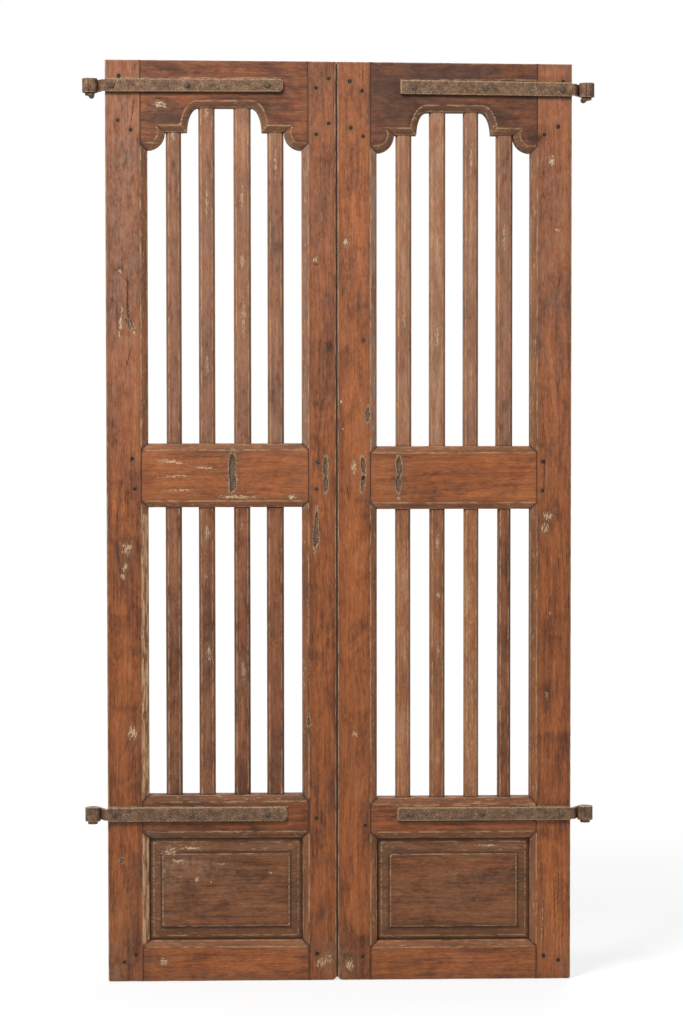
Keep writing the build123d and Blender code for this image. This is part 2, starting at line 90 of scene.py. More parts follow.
# Marks on the fronts, in millimetres: x, z, half width, half height, lean in degrees, depth.
# Hollows are the seats of lost fittings, with a dark floor inside a pale broken rim.
hollows = [
    (-214.8, 1032, 6.2, 29, 2, 3.5), (-213, 1000, 6.2, 15, 12, 3), (-27.8, 1034, 4.3, 19, 0, 2.4),
    (-27.6, 1000, 4.3, 17, 0, 2.4), (-47.5, 908, 3.5, 38, 3, 2.2), (-47, 893, 5.1, 14, 0, 3),
    (48, 1037, 4.3, 17, -6, 3), (47, 1003, 3.9, 16, 6, 2.4), (119.6, 1037, 5.1, 17, -3, 3.2),
    (118.5, 1001, 4.7, 16, 2, 3), (57, 1140, 4.5, 13, 0, 1.6), (-421, 1320, 2.6, 14, -26, 1.6),
    (-62, 523, 3.5, 9, 0, 1.2), (-438, 245, 4, 5, 0, 1.4), (228, 216, 7, 2.4, 12, 1.2),
]
# Chips are places where pale wood has broken out in flecks.
chips = [
    (-425, 874, 13, 15, 0, 0.8), (-429, 836, 7, 13, 20, 0.8), (-434, 816, 6, 7, 0, 0.8), (-415, 502, 12, 16, 0, 0.5),
    (-436, 1426, 8, 5, 50, 1.6), (-436.5, 1322, 4, 42, 4, 0.9), (-414, 1322, 5, 18, -26, 0.9),
    (-409, 1304, 3, 5, 0, 0.8), (13, 1483, 8, 11, 0, 1), (-47, 1448, 9, 9, 30, 0.8), (3, 1165, 5, 4, 0, 0.8),
    (7, 1110, 3, 4, 0, 0.8), (418, 935, 13, 10, 0, 1), (412, 912, 11, 12, 0, 0.8), (425, 741, 3.5, 5, 0, 1),
    (416, 578, 4, 8, 0, 1.2), (455, 1625, 5, 3.5, 0, 0.8), (438, 1508, 8, 5, -30, 0.8), (425, 1645, 8, 16, 0, 0.4),
    (29, 1033, 7.5, 20, 0, 0.4), (-26, 834, 2.2, 2.2, 0, 0.6), (-22, 790, 2.2, 2.2, 0, 0.6),
    (-36, 35, 12, 12, 0, 0.8), (-21, 43, 9, 12, 0, 0.8), (20, 31, 12, 16, 0, 0.8), (31, 497, 8, 8, 0, 0.3),
    (-354, 40, 11, 9, 0, 0.3), (-356, 1757, 16, 10, 10, 0.3), (-330, 1700, 26, 5, 4, 0.3),
    (-335, 1046, 40, 5, 8, 0.4), (-272, 1034, 30, 3.5, 6, 0.4), (-330, 1017, 44, 2.5, -3, 0.4),
    (-316, 989, 46, 2.5, 0, 0.4), (-206, 975, 52, 5, 1, 0.4), (-97, 975, 14, 7, 0, 0.4), (119, 972, 8, 4, 20, 0.6),
    (175, 326, 3, 18, 0, 0.4), (-325, 242, 20, 6, 0, 0.5), (-287, 205, 7, 8, 30, 0.4), (-321, 211, 6, 3, 0, 0.4),
    (-259, 199, 4, 3, 0, 0.4), (-240, 236, 12, 3, 0, 0.3), (-140, 218, 6, 6, 0, 0.2), (410, 120, 3, 60, 2, 0.4),
    (-342, 262, 22, 13, 0, 0.3), (-353, 228, 5, 24, 0, 0.2), (-300, 268, 30, 5, 0, 0.2), (300, 270, 30, 3, 0, 0.2),
]
# Flecks on the bars, by the same measures.
flecks = [
    (-264, 1740, 7, 30, 0, 0.2), (-264, 1560, 6, 60, 0, 0.2), (-264, 1240, 6, 40, 0, 0.2),
    (-193, 1574, 8, 36, 0, 0.3), (-193, 1447, 8, 24, 0, 0.3), (-191, 1335, 7, 70, 0, 0.2),
    (-331, 1700, 6, 30, 0, 0.2), (-127, 1640, 5, 60, 0, 0.2), (-265, 903, 9, 26, 0, 0.3), (-268, 817, 6, 12, 0, 0.3),
    (-262, 661, 9, 30, 0, 0.3), (-195, 917, 6, 16, 0, 0.2), (-193, 628, 8, 30, 0, 0.3), (197, 883, 7, 34, 0, 0.2),
    (199, 778, 7, 18, 0, 0.3), (199, 668, 6, 26, 0, 0.2), (265, 600, 6, 22, 0, 0.3), (196, 1300, 7, 50, 0, 0.2),
    (264, 1650, 6, 60, 0, 0.2), (330, 1500, 6, 60, 0, 0.2), (130, 1330, 6, 40, 0, 0.2),
]
# Cracks are thin and dark, and run with the grain.
cracks = [
    (-422, 1370, 1.1, 62, -1.5, 1.2), (-414, 1322, 1.2, 20, -26, 1.2), (17, 984, 1.2, 18, -8, 1),
    (47.8, 1817, 1, 26, 0, 1), (412, 1030, 0.9, 44, 3, 0.8), (413, 1090, 0.8, 34, -8, 0.8),
    (441, 190, 0.9, 60, 1, 0.6), (433, 160, 0.8, 44, -2, 0.6), (411, 110, 0.9, 75, 1, 0.8),
    (-412, 1735, 1, 40, 8, 0.6), (-62, 590, 0.8, 120, 0, 0.6), (-420, 1255, 0.9, 26, 16, 0.4),
]
# Knots are round, ringed and dark in the middle.
knots = [
    (48, 1287, 9, 9, 0, 0.8), (418, 583, 9, 12, 0, 0.6), (-20, 1275, 13, 24, 0, 0.2), (-446, 1428, 4, 4, 0, 0.3),
    (-47, 1440, 8, 8, 0, 0.4), (214, 1001, 5, 6, 0, 0.3), (190, 985, 7, 6, 0, 0.3), (391, 1690, 34, 16, 0, 0.2),
]
# Patches of tone on the fronts: x, z, half width, half height, how much warmer or darker, how much dustier.
patches = [
    (-437, 1820, 22, 30, 0.9, 0), (-398, 1750, 12, 60, 0.9, 0), (-420, 1650, 26, 26, -0.9, 0.5),
    (-430, 1540, 40, 160, -0.6, 0.3), (-435, 1400, 25, 90, -0.3, 0.15), (-415, 1190, 30, 110, 0.9, 0),
    (-445, 1250, 14, 120, -0.3, 0.2), (-425, 930, 34, 60, 0.8, 0), (-428, 845, 34, 60, -1.2, 0.2),
    (-440, 640, 34, 120, 0.5, 0), (-430, 690, 12, 90, 0.5, 0.2), (-420, 480, 30, 60, -0.5, 0.1),
    (-448, 330, 20, 40, -0.6, 0.1), (-430, 140, 34, 90, 0.4, 0.25), (-420, 40, 50, 40, -0.9, 0.3),
    (-330, 1830, 120, 16, -0.6, 0), (-360, 1740, 50, 40, -0.3, 0.2), (-120, 1780, 40, 60, -0.2, 0),
    (-250, 1820, 60, 14, 0.4, 0), (-130, 1700, 20, 30, -0.3, 0), (-150, 1760, 14, 14, -0.7, 0.1),
    (-40, 1700, 26, 90, 0.3, 0), (-40, 1560, 30, 60, -0.3, 0.2), (-36, 1400, 30, 90, 0.5, 0),
    (-30, 1150, 30, 70, 0.5, 0), (-52, 1010, 18, 60, 0.9, 0), (-30, 760, 26, 140, -0.3, 0),
    (-40, 540, 24, 120, 0.5, 0), (-24, 380, 22, 60, -0.4, 0.1), (-30, 200, 26, 90, 0.3, 0),
    (-22, 60, 22, 50, -0.9, 0.2), (-370, 1055, 30, 20, 1.5, 0), (-370, 990, 40, 16, 0.9, 0),
    (-270, 1065, 60, 12, -0.8, 0.1), (-120, 1040, 50, 22, 0.5, 0), (-215, 1030, 16, 44, -0.6, 0.4),
    (-90, 1020, 16, 50, -0.5, 0.2), (-300, 350, 90, 30, 0.2, 0.1), (-110, 330, 40, 26, 0.8, 0),
    (-230, 40, 120, 30, 0.7, 0.1), (-360, 50, 30, 26, 0.4, 0.3), (-120, 66, 40, 20, 0.9, 0),
    (20, 1800, 22, 60, 0.8, 0), (46, 1700, 24, 60, 0, 0), (46, 1490, 26, 80, 0.8, 0), (22, 1560, 20, 40, 0.4, 0),
    (40, 1230, 34, 60, 0.6, 0), (30, 1380, 34, 70, -0.1, 0.1), (44, 1090, 24, 50, 0.8, 0),
    (52, 1020, 26, 50, 0.5, 0.2), (30, 900, 34, 60, 1, 0), (26, 700, 30, 120, 0.6, 0), (52, 560, 22, 90, 0.3, 0.1),
    (30, 400, 34, 70, 0.4, 0.1), (56, 350, 16, 22, -1, 0.3), (36, 180, 30, 90, 0.7, 0), (30, 40, 34, 40, -1.1, 0.2),
    (120, 1800, 90, 40, -1.2, 0.1), (260, 1815, 90, 20, -1, 0.2), (330, 1700, 60, 60, -0.7, 0),
    (110, 1720, 40, 50, -0.9, 0.1), (430, 1800, 30, 40, 0.9, 0), (430, 1690, 30, 50, 0.6, 0),
    (446, 1560, 18, 60, -0.2, 0.3), (420, 1420, 36, 90, 0.2, 0.1), (430, 1180, 34, 100, 0.6, 0),
    (450, 1080, 14, 60, -0.2, 0.1), (418, 880, 26, 40, -0.3, 0.1), (440, 780, 24, 60, 0.5, 0),
    (420, 690, 20, 60, -0.9, 0), (418, 580, 22, 26, -1.2, 0), (440, 500, 30, 80, 0.4, 0),
    (450, 330, 14, 24, -1.4, 0.1), (430, 220, 34, 140, 1.5, 0), (420, 60, 40, 50, 0.5, 0.2),
    (120, 1020, 22, 55, -1, 0.5), (380, 1010, 40, 50, 0.9, 0), (260, 1050, 90, 16, 0.2, 0),
    (250, 980, 110, 12, -0.2, 0.1), (92, 1000, 20, 40, 0.6, 0), (110, 340, 40, 30, -0.5, 0.1),
    (320, 300, 120, 14, -0.7, 0.1), (110, 50, 40, 24, -0.7, 0.2), (250, 40, 90, 26, 0.6, 0.3),
    (160, 62, 50, 14, 0.5, 0), (380, 34, 40, 24, -0.2, 0.2), (-300, 230, 80, 22, 0, 0.9),
    (-230, 170, 120, 60, 0, 0.35), (-340, 180, 20, 60, -0.2, 0.5), (240, 160, 110, 60, -0.3, 0.35),
    (300, 210, 60, 18, -0.3, 0.2), (-456, 18, 20, 60, -0.5, 0.7), (-14, 30, 14, 40, -0.3, 0.6),
    (6, 30, 14, 46, -0.3, 0.7), (456, 20, 16, 50, -0.3, 0.5), (-370, 290, 20, 30, -0.6, 0.7),
    (-60, 60, 60, 14, -0.2, 0.5), (-230, 8, 200, 8, -0.5, 0.5), (240, 8, 200, 8, -0.5, 0.4),
]


def paint(red, green, blue):
    """A colour given as it looks on a screen, from 0 to 255, as Blender's own numbers."""
    return tuple(
        c / 12.92 if c <= 0.04045 else ((c + 0.055) / 1.055) ** 2.4
        for c in (red / 255, green / 255, blue / 255)
    ) + (1.0,)


# Node trees


def sum_of(operation, turned=False):
    """A way to work a wire out with another wire or number; turned, the other comes first."""

    def method(wire, other):
        return wire.maker.maths(operation, *((other, wire) if turned else (wire, other)))

    return method


class Wire:
    """A node's socket that takes part in sums as a number does."""

    def __init__(self, maker, socket):
        self.maker = maker
        self.socket = socket

    def beside(self, name):
        """Another output of the same node."""
        return Wire(self.maker, self.socket.node.outputs[name])

    def maths(self, operation, *others):
        return self.maker.maths(operation, self, *others)

    __add__ = __radd__ = sum_of("ADD")
    __sub__, __rsub__ = sum_of("SUBTRACT"), sum_of("SUBTRACT", turned=True)
    __mul__ = __rmul__ = sum_of("MULTIPLY")
    __truediv__, __rtruediv__ = sum_of("DIVIDE"), sum_of("DIVIDE", turned=True)
    least, most = sum_of("MINIMUM"), sum_of("MAXIMUM")

    def rising(self, low, high):
        """0 below low, 1 above high, and a smooth rise between; with low above high it falls."""
        values = {"Value": self, "From Min": min(low, high), "From Max": max(low, high)}
        values.update({"To Min": float(low > high), "To Max": float(low <= high)})
        return self.maker.node("ShaderNodeMapRange", {"interpolation_type": "SMOOTHSTEP"}, values)

    def under(self, amount, red, green, blue):
        """This colour with so much of another laid over it."""
        return self.maker.mix(amount, self, paint(red, green, blue))


def named(sockets, key):
    """The socket in use that has this name, or this number."""
    return next(s for s in sockets if s.name == key and s.enabled) if isinstance(key, str) else sockets[key]


class Maker:
    """A node tree being built, with its nodes made by one method."""

    def __init__(self, tree):
        self.tree = tree

    def node(self, kind, settings=None, values=None, out=0):
        """A node: its settings are set first, then its sockets' values or links."""
        made = self.tree.nodes.new(kind)
        for key, value in (settings or {}).items():
            if key == "stops":
                ramp = made.color_ramp.elements
                while len(ramp) < len(value):
                    ramp.new(0.5)
                for stop, (place, colour) in zip(ramp, value):
                    stop.position = place
                    stop.color = colour
            else:
                setattr(made, key, value)
        for key, value in (values or {}).items():
            socket = named(made.inputs, key)
            if isinstance(value, Wire):
                self.tree.links.new(value.socket, socket)
            else:
                socket.default_value = value
        return Wire(self, named(made.outputs, out)) if made.outputs else made

    def maths(self, operation, *values):
        return self.node("ShaderNodeMath", {"operation": operation}, dict(enumerate(values)))

    def mix(self, amount, first, second):
        return self.node("ShaderNodeMix", {"data_type": "RGBA"}, {0: amount, "A": first, "B": second}, "Result")


class Finish(Maker):
    """The shader of a material or of the world, being built."""

    def __init__(self, owner):
        owner.use_nodes = True
        super().__init__(owner.node_tree)
        self.owner = owner
        self.tree.nodes.clear()

    def attribute(self, name, out=2):
        return self.node("ShaderNodeAttribute", {"attribute_name": name}, out=out)

    def place(self):
        return self.node("ShaderNodeTexCoord", out="Object")

    def vectors(self, operation, *values, out=0):
        return self.node("ShaderNodeVectorMath", {"operation": operation}, dict(enumerate(values)), out)

    def split(self, vector, axis):
        return self.node("ShaderNodeSeparateXYZ", None, {0: vector}, axis)

    def noise(self, vector, size, detail=3.0, roughness=0.55, distortion=0.0, out=0):
        """Noise with so many features to a metre along each axis."""
        values = {"Vector": self.vectors("MULTIPLY", vector, size), "Scale": 1.0, "Detail": detail}
        values.update({"Roughness": roughness, "Distortion": distortion})
        return self.node("ShaderNodeTexNoise", None, values, out)

    def ramp(self, value, stops):
        """A colour for each value; the stops are a place and a colour from 0 to 255."""
        return self.node("ShaderNodeValToRGB", {"stops": [(at, paint(*tint)) for at, *tint in stops]}, {0: value})

    def nearest(self, place, marks):
        """How near the closest of these marks is: 0 at its middle and 1 at its outline."""
        found = None
        for x, z, half_width, half_height, lean, _ in marks:
            values = {
                "Vector": place,
                "Location": (x * MM, front_y, z * MM),
                "Rotation": (0.0, math.radians(lean), 0.0),
                "Scale": (half_width * MM, 1.0, half_height * MM),
            }
            here = self.node("ShaderNodeMapping", {"vector_type": "TEXTURE"}, values)
            reach = self.vectors("LENGTH", here, out="Value")
            found = reach if found is None else found.least(reach)
        return found

    def close(self, colour, roughness, height, depth, strength, metallic=0.0, specular=0.4):
        """The finished material: height feeds a bump of this depth in metres."""
        bump = self.node("ShaderNodeBump", None, {"Strength": strength, "Distance": depth, "Height": height})
        values = {"Base Color": colour, "Roughness": roughness, "Metallic": metallic, "Normal": bump}
        values["Specular IOR Level"] = specular
        self.node("ShaderNodeOutputMaterial", None, {0: self.node("ShaderNodeBsdfPrincipled", None, values)})
        return self.owner


class Bench(Maker):
    """A Geometry Nodes tree being built, with named inputs for its sizes, its seed and its finish."""

    def __init__(self, name, sizes, seed, finish):
        super().__init__(bpy.data.node_groups.new(name, "GeometryNodeTree"))
        self.tree.is_modifier = True
        self.inputs = {}
        sockets = self.tree.interface
        sockets.new_socket("Places", in_out="INPUT", socket_type="NodeSocketGeometry")
        for label, value in {**sizes, "Seed": seed, "Finish": finish}.items():
            kind = {int: "Int", float: "Float"}.get(type(value), "Material")
            socket = sockets.new_socket(label, in_out="INPUT", socket_type="NodeSocket" + kind)
            self.inputs[socket.identifier] = value
        sockets.new_socket("Pieces", in_out="OUTPUT", socket_type="NodeSocketGeometry")
        self.start = self.tree.nodes.new("NodeGroupInput")
        self.end = self.tree.nodes.new("NodeGroupOutput")

    def given(self, label):
        return Wire(self, self.start.outputs[label])

    def brought(self, name, kind="FLOAT"):
        """What came with each place, or was kept before, under this name."""
        return self.node("GeometryNodeInputNamedAttribute", {"data_type": kind}, {"Name": name})

    def kept(self, geometry, name, value, kind="FLOAT"):
        values = {"Geometry": geometry, "Name": name, "Value": value}
        return self.node("GeometryNodeStoreNamedAttribute", {"data_type": kind, "domain": "POINT"}, values)

    def chance(self, most):
        """A number from 0 to this for each place, the same in every run."""
        values = {"Min": 0.0, "Max": most, "Seed": self.given("Seed")}
        return self.node("FunctionNodeRandomValue", {"data_type": "FLOAT"}, values, "Value")

    def joined(self, x, y, z):
        return self.node("ShaderNodeCombineXYZ", None, {0: x, 1: y, 2: z})

    def parted(self, vector):
        parts = self.node("ShaderNodeSeparateXYZ", None, {0: vector})
        return [parts.beside(axis) for axis in "XYZ"]

    def set_out(self, piece, places=None, **more):
        """A copy of the piece at every place."""
        values = {"Points": places or self.given("Places"), "Instance": piece, **more}
        return self.node("GeometryNodeInstanceOnPoints", None, values)

    def loose(self, copies):
        return self.node("GeometryNodeRealizeInstances", None, {0: copies})

    def finish(self, geometry):
        values = {"Geometry": self.loose(geometry), "Material": self.given("Finish")}
        clad = self.node("GeometryNodeSetMaterial", None, values)
        self.tree.links.new(clad.socket, self.end.inputs[0])
        return self

    def make(self, places, sizes=None):
        """A plain mesh of the pieces at these places; sizes are lists of numbers, one for each place."""
        holder_mesh = bpy.data.meshes.new("places")
        holder_mesh.from_pydata([tuple(p) for p in places], [], [])
        store(holder_mesh, **{label: np.array(numbers, float) for label, numbers in (sizes or {}).items()})
        holder = bpy.data.objects.new("holder", holder_mesh)
        bpy.context.scene.collection.objects.link(holder)
        modifier = holder.modifiers.new("pieces", "NODES")
        modifier.node_group = self.tree
        for identifier, value in self.inputs.items():
            modifier[identifier] = value
        bpy.context.view_layer.update()
        made = bpy.data.meshes.new_from_object(holder.evaluated_get(bpy.context.evaluated_depsgraph_get()))
        holder.modifiers.clear()
        bpy.data.objects.remove(holder)
        return arrays(made)


# Finishes


class Teak(Finish):
    """Old waxed teak: its grain follows each board, its arrises and bevels are worn, its creases and joints carry grime
    and painted shade, and its upper boards a painted sheen.
    """

    def __init__(self, name):
        super().__init__(bpy.data.materials.new(name))
        self.grain = self.attribute("grain", 1)
        self.here = self.place()
        self.edge, self.crease = self.attribute("edge"), self.attribute("crease")
        self.bevel, self.dust = self.attribute("bevel"), self.attribute("dust")
        self.fibre = self.along((520, 520, 11), 4, 0.6)
        self.fine = self.along((620, 620, 90), 5, 0.75)
        self.blotch = self.along((19, 19, 10), 5, 0.6, 1.0)
        self.mottle = self.along((90, 90, 40), 6, 0.76)
        self.pores = self.along((1500, 1500, 70), 1, 0.5).rising(0.56, 0.7) * 0.24
        self.scurf = self.along((260, 260, 60), 5, 0.7)

    def along(self, size, detail, roughness, distortion=0.0):
        """Noise that runs with the board's grain."""
        return self.noise(self.grain, size, detail, roughness, distortion)

    def wood(self, stops, cool):
        """The wood itself, with its rings and pores, smeared dirt, a painted sheen on the upper boards, dust and fine
        scuffs.
        """
        broad = self.along((46, 46, 4), 3, 0.55, 1.2)
        wander = self.along((9, 9, 2.2), 2, 0.5)
        rings = ((self.split(self.grain, "X") * 70.0 + wander * 9.0) * math.tau).maths("SINE").rising(0.2, 1.0)
        shade = self.fibre * 0.42 + broad * 0.34 + self.fine * 0.62 + self.mottle * 0.3 + self.blotch * 0.6
        shade = shade - rings * 0.045 + self.attribute("tone") * 0.085 - 0.63
        colour = self.ramp(shade, stops)
        colour = colour.under(self.blotch.rising(0.5, 0.68) * 0.35, *cool)
        colour = colour.under(self.along((26, 26, 12), 6, 0.72, 0.6).rising(0.56, 0.72) * 0.34, 70, 48, 36)
        colour = colour.under(self.pores, 58, 36, 26)
        # painted sheen: upper boards mixed toward pale grey, standing in for studio light reflected off them
        colour = colour.under(self.attribute("film") * self.mottle.rising(0.3, 0.7) * 0.6, 150, 122, 108)
        cloud = self.noise(self.here, (70, 70, 70), 5, 0.72).rising(0.36, 0.66)
        colour = colour.under(self.dust * cloud * 0.7, 134, 108, 86)
        scuffed = self.along((520, 520, 40), 3, 0.6).rising(0.66, 0.74) * self.blotch.rising(0.42, 0.58) * 0.5
        return colour.under(scuffed, 176, 140, 108)

    def trimmed(self, colour, bevel_colour):
        """Greyed and flaking bevels, arrises rubbed pale in places, and creases and joints darkened with grime and
        painted shade.
        """
        soot = self.along((120, 120, 9), 4, 0.65).rising(0.42, 0.66)
        trim = colour.under(0.3, *bevel_colour).under(soot * 0.5, 84, 56, 40)
        trim = trim.under(self.scurf.rising(0.57, 0.66) * 0.7, 182, 148, 112)
        colour = self.mix(self.bevel.least(1.0), colour, trim)
        # a heavily flaked bevel has a broken cream band along its outer half
        flakes = self.along((210, 210, 24), 5, 0.66).rising(0.44, 0.54)
        cream = (self.bevel - 1.0).rising(0.05, 0.6) * self.edge.rising(0.0085, 0.004) * flakes
        colour = colour.under(cream * 0.85, 190, 158, 120)
        # pale arrises: rubbed wear, dust along strap tops, and at a panel's field edge partly a painted highlight
        worn = self.edge.rising(0.0024, 0.0005) * self.along((260, 260, 36), 4, 0.65).rising(0.4, 0.58)
        colour = colour.under(worn * 0.66, 186, 150, 112)
        # grime and painted shade: dark along creases and joints, below the straps, along a panel's frame, round its
        # field and where bars enter the rails
        grime_and_shade = self.crease.rising(0.0024, 0.0004) * (self.mottle.rising(0.3, 0.5) * 0.5 + 0.5)
        colour = colour.under(grime_and_shade * 0.7, 44, 29, 21)
        # a broader darkening: painted shade near creases, and dirt from handling near arrises
        handling_dirt_and_shade = self.crease.rising(0.011, 0.0).most(self.edge.rising(0.014, 0.001) * 0.7)
        return colour.under(handling_dirt_and_shade * self.mottle.rising(0.36, 0.58) * 0.42, 68, 48, 37)

    def marked(self, unmarked, flake_size, flake):
        """Knots, the seats of lost fittings, broken flecks and cracks, all on the front."""
        stir = self.noise(self.here, (170, 170, 170), 3, 0.6, out=1)
        stir = self.vectors("SUBTRACT", stir, (0.5, 0.5, 0.5))
        specks = self.noise(self.here, (520, 520, 520), 4, 0.72)
        rough = self.noise(self.here, (260, 260, 150), 5, 0.75) - 0.5
        wobble = self.split(stir, "X") * 1.2 + rough * 3.0
        knot = self.attribute("knot") + wobble * 0.5
        ringed = (knot * 21.0).maths("SINE").rising(-0.2, 0.9)
        colour = unmarked.under(knot.rising(2.6, 0.8) * ringed * 0.4, 92, 54, 36)
        colour = colour.under(knot.rising(0.75, 0.3) * 0.8, 52, 36, 28)
        hollow = self.attribute("hollow") + wobble * 0.6
        colour = colour.under(hollow.rising(2.1, 1.0) * 0.4, 98, 76, 58)
        seat = self.ramp(specks, [(0.38, 52, 44, 38), (0.54, 98, 84, 70), (0.68, 158, 138, 114)])
        colour = self.mix(hollow.rising(1.0, 0.8) * 0.8, colour, seat)
        outline = hollow.rising(1.16, 1.0) * hollow.rising(0.66, 0.9)
        colour = colour.under(outline * 0.75, 50, 36, 28)
        rim = hollow.rising(1.6, 1.15) * hollow.rising(0.95, 1.1) * specks.rising(0.47, 0.54)
        colour = colour.under(rim * 0.8, 184, 156, 122)
        chip = self.attribute("chip") + wobble * 0.4
        flecked = chip.rising(1.2, 0.2) * 0.16 + self.along(flake_size, 5, 0.72)
        broken = flecked.rising(0.6, 0.67) * chip.rising(1.3, 0.9)
        colour = colour.under(chip.rising(1.8, 0.6) * 0.3, 100, 76, 58)
        colour = colour.under(broken * flake, 196, 166, 130)
        bent = self.vectors("ADD", self.here, self.vectors("MULTIPLY", stir, (0.007, 0.007, 0.007)))
        colour = colour.under(self.nearest(bent, cracks).rising(1.2, 0.6) * 0.8, 40, 27, 21)
        on_front = self.split(self.here, "Y").rising(middle_y + 0.002, middle_y - 0.002)
        return self.mix(on_front, unmarked, colour)


def teak(name, stops, cool, bevel_colour, flake_size=(420, 420, 150), flake=0.8):
    finish = Teak(name)
    colour = finish.marked(finish.trimmed(finish.wood(stops, cool), bevel_colour), flake_size, flake)
    height = finish.fibre * 0.45 + finish.fine * 0.35 + finish.mottle * 0.5
    height = height + finish.scurf * finish.bevel * 0.7 - finish.pores * 0.6
    roughness = 0.46 + finish.fibre * 0.2 + finish.mottle * 0.14 + finish.dust * 0.12
    return finish.close(colour, roughness, height, 0.0013, 0.6, specular=0.2)


def iron(name, stops, dust_colour, dusty):
    """Forged iron, brown with old rust, pitted, with pale dust where it can lie and painted shade on its undersides."""
    finish = Finish(bpy.data.materials.new(name))
    place = finish.place()
    upward = finish.split(finish.node("ShaderNodeTexCoord", out="Normal"), "Z")
    speck = finish.noise(place, (460, 460, 460), 4, 0.72)
    cloud = finish.noise(place, (95, 95, 95), 4, 0.62)
    grit = finish.noise(place, (900, 900, 900), 2, 0.6)
    pit = finish.node("ShaderNodeTexVoronoi", {"feature": "F1"}, {"Vector": place, "Scale": 340, "Randomness": 1})
    colour = finish.ramp(speck * 0.75 + grit * 0.6 + cloud * 0.42 - 0.38, stops)
    colour = colour.under(pit.rising(0.32, 0.12) * 0.45, 52, 40, 32)
    lies = upward.rising(0.35, 0.9).most(finish.attribute("edge").rising(0.0026, 0.0003) * 0.75)
    dusted = lies * speck.rising(0.38, 0.58) * finish.attribute("settled") * dusty
    colour = colour.under(dusted, *dust_colour)
    # painted shade on the faces that look downwards
    colour = colour.under(upward.rising(-0.35, -0.9) * 0.55, 40, 30, 25)
    height = speck * 0.7 + cloud * 0.4 - pit.rising(0.3, 0.0) * 0.5
    return finish.close(colour, 0.66 + speck * 0.18, height, 0.0016, 0.6, metallic=0.12, specular=0.3)


def end_grain(name):
    """End grain of the tenon pegs, dark with old wax."""
    finish = Finish(bpy.data.materials.new(name))
    speck = finish.noise(finish.place(), (700, 700, 700), 3, 0.6)
    colour = finish.ramp(speck, [(0.3, 30, 20, 15), (0.55, 58, 38, 27), (0.75, 96, 66, 46)])
    return finish.close(colour, 0.75 + speck * 0.1, speck, 0.0006, 0.5, specular=0.25)


framing_teak = teak(
    "framing_teak",
    [(0.24, 62, 36, 25), (0.4, 100, 57, 35), (0.53, 134, 77, 43), (0.66, 158, 92, 50), (0.84, 184, 126, 82)],
    (100, 60, 41), (136, 102, 74),
)
panel_teak = teak(
    "panel_teak",
    [(0.24, 52, 33, 23), (0.4, 86, 52, 34), (0.53, 116, 71, 43), (0.66, 136, 88, 55), (0.84, 172, 134, 98)],
    (92, 61, 44), (124, 96, 72),
)
bar_teak = teak(
    "bar_teak",
    [(0.24, 64, 38, 27), (0.4, 100, 59, 39), (0.53, 133, 81, 52), (0.66, 154, 99, 64), (0.84, 190, 150, 114)],
    (108, 68, 50), (132, 98, 76), (900, 900, 130), 0.6,
)
peg_end_grain = end_grain("peg_end_grain")
forged_iron = iron(
    "forged_iron", [(0.28, 42, 30, 24), (0.45, 84, 61, 46), (0.56, 118, 90, 67), (0.76, 172, 142, 110)],
    (184, 159, 128), 0.9,
)
nail_iron = iron(
    "nail_iron", [(0.3, 42, 34, 29), (0.46, 74, 59, 47), (0.58, 102, 83, 65), (0.78, 132, 112, 88)],
    (150, 126, 98), 0.5,
)


# Mesh work


def lattice(cell, seed):
    """A fixed number from -1 to 1 for each whole-number cell."""
    mixed = cell[:, 0] * 374761393 + cell[:, 1] * 668265263 + cell[:, 2] * 1440662683 + seed * 974711
    mixed = (mixed ^ (mixed >> 13)) * 1274126177
    mixed = mixed ^ (mixed >> 16)
    return (mixed & 0xFFFFFF) / 0x7FFFFF - 1.0


def ripple(points, size, seed):
    """Smooth noise from -1 to 1 whose features have this size."""
    scaled = points / np.asarray(size)
    cell = np.floor(scaled).astype(np.int64)
    part = scaled - cell
    part = part * part * (3 - 2 * part)
    total = np.zeros(len(points))
    for corner in product((0, 1), repeat=3):
        share = np.prod(np.where(np.array(corner) == 1, part, 1 - part), axis=1)
        total += share * lattice(cell + np.array(corner), seed)
    return total


def three_ripples(points, size, seed):
    return np.stack([ripple(points, size, seed + i) for i in range(3)], 1)


def taken_from(work):
    """The corners and triangles of a working mesh, which is then freed."""
    bmesh.ops.triangulate(work, faces=work.faces)
    bmesh.ops.recalc_face_normals(work, faces=work.faces)
    work.verts.index_update()
    points = np.array([v.co for v in work.verts], float)
    faces = np.array([[v.index for v in f.verts] for f in work.faces], int)
    work.free()
    return points, faces


def arrays(mesh):
    """The corners and triangles of a plain mesh, which is then removed."""
    work = bmesh.new()
    work.from_mesh(mesh)
    bmesh.ops.remove_doubles(work, verts=work.verts, dist=1e-6)
    bpy.data.meshes.remove(mesh)
    return taken_from(work)


def skin(node, cuts=((), (), ())):
    """The corners and triangles of a CAD node's mesh, welded, and divided where the cuts across each axis say."""
    work = bmesh.new()
    work.from_mesh(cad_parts[node].data)
    bmesh.ops.remove_doubles(work, verts=work.verts, dist=1e-5)
    bmesh.ops.dissolve_limit(work, angle_limit=math.radians(0.2), verts=work.verts, edges=work.edges)
    for axis in (2, 0, 1):
        normal = Vector((0, 0, 0))
        normal[axis] = 1
        places = sorted(cuts[axis])
        for place in [c for i, c in enumerate(places) if i == 0 or c - places[i - 1] > 0.0004]:
            everything = work.verts[:] + work.edges[:] + work.faces[:]
            bmesh.ops.bisect_plane(work, geom=everything, dist=2e-6, plane_co=normal * place, plane_no=normal)
    return taken_from(work)


def lengths(vectors, least=1e-14):
    return np.maximum(np.linalg.norm(vectors, axis=1), least)[:, None]


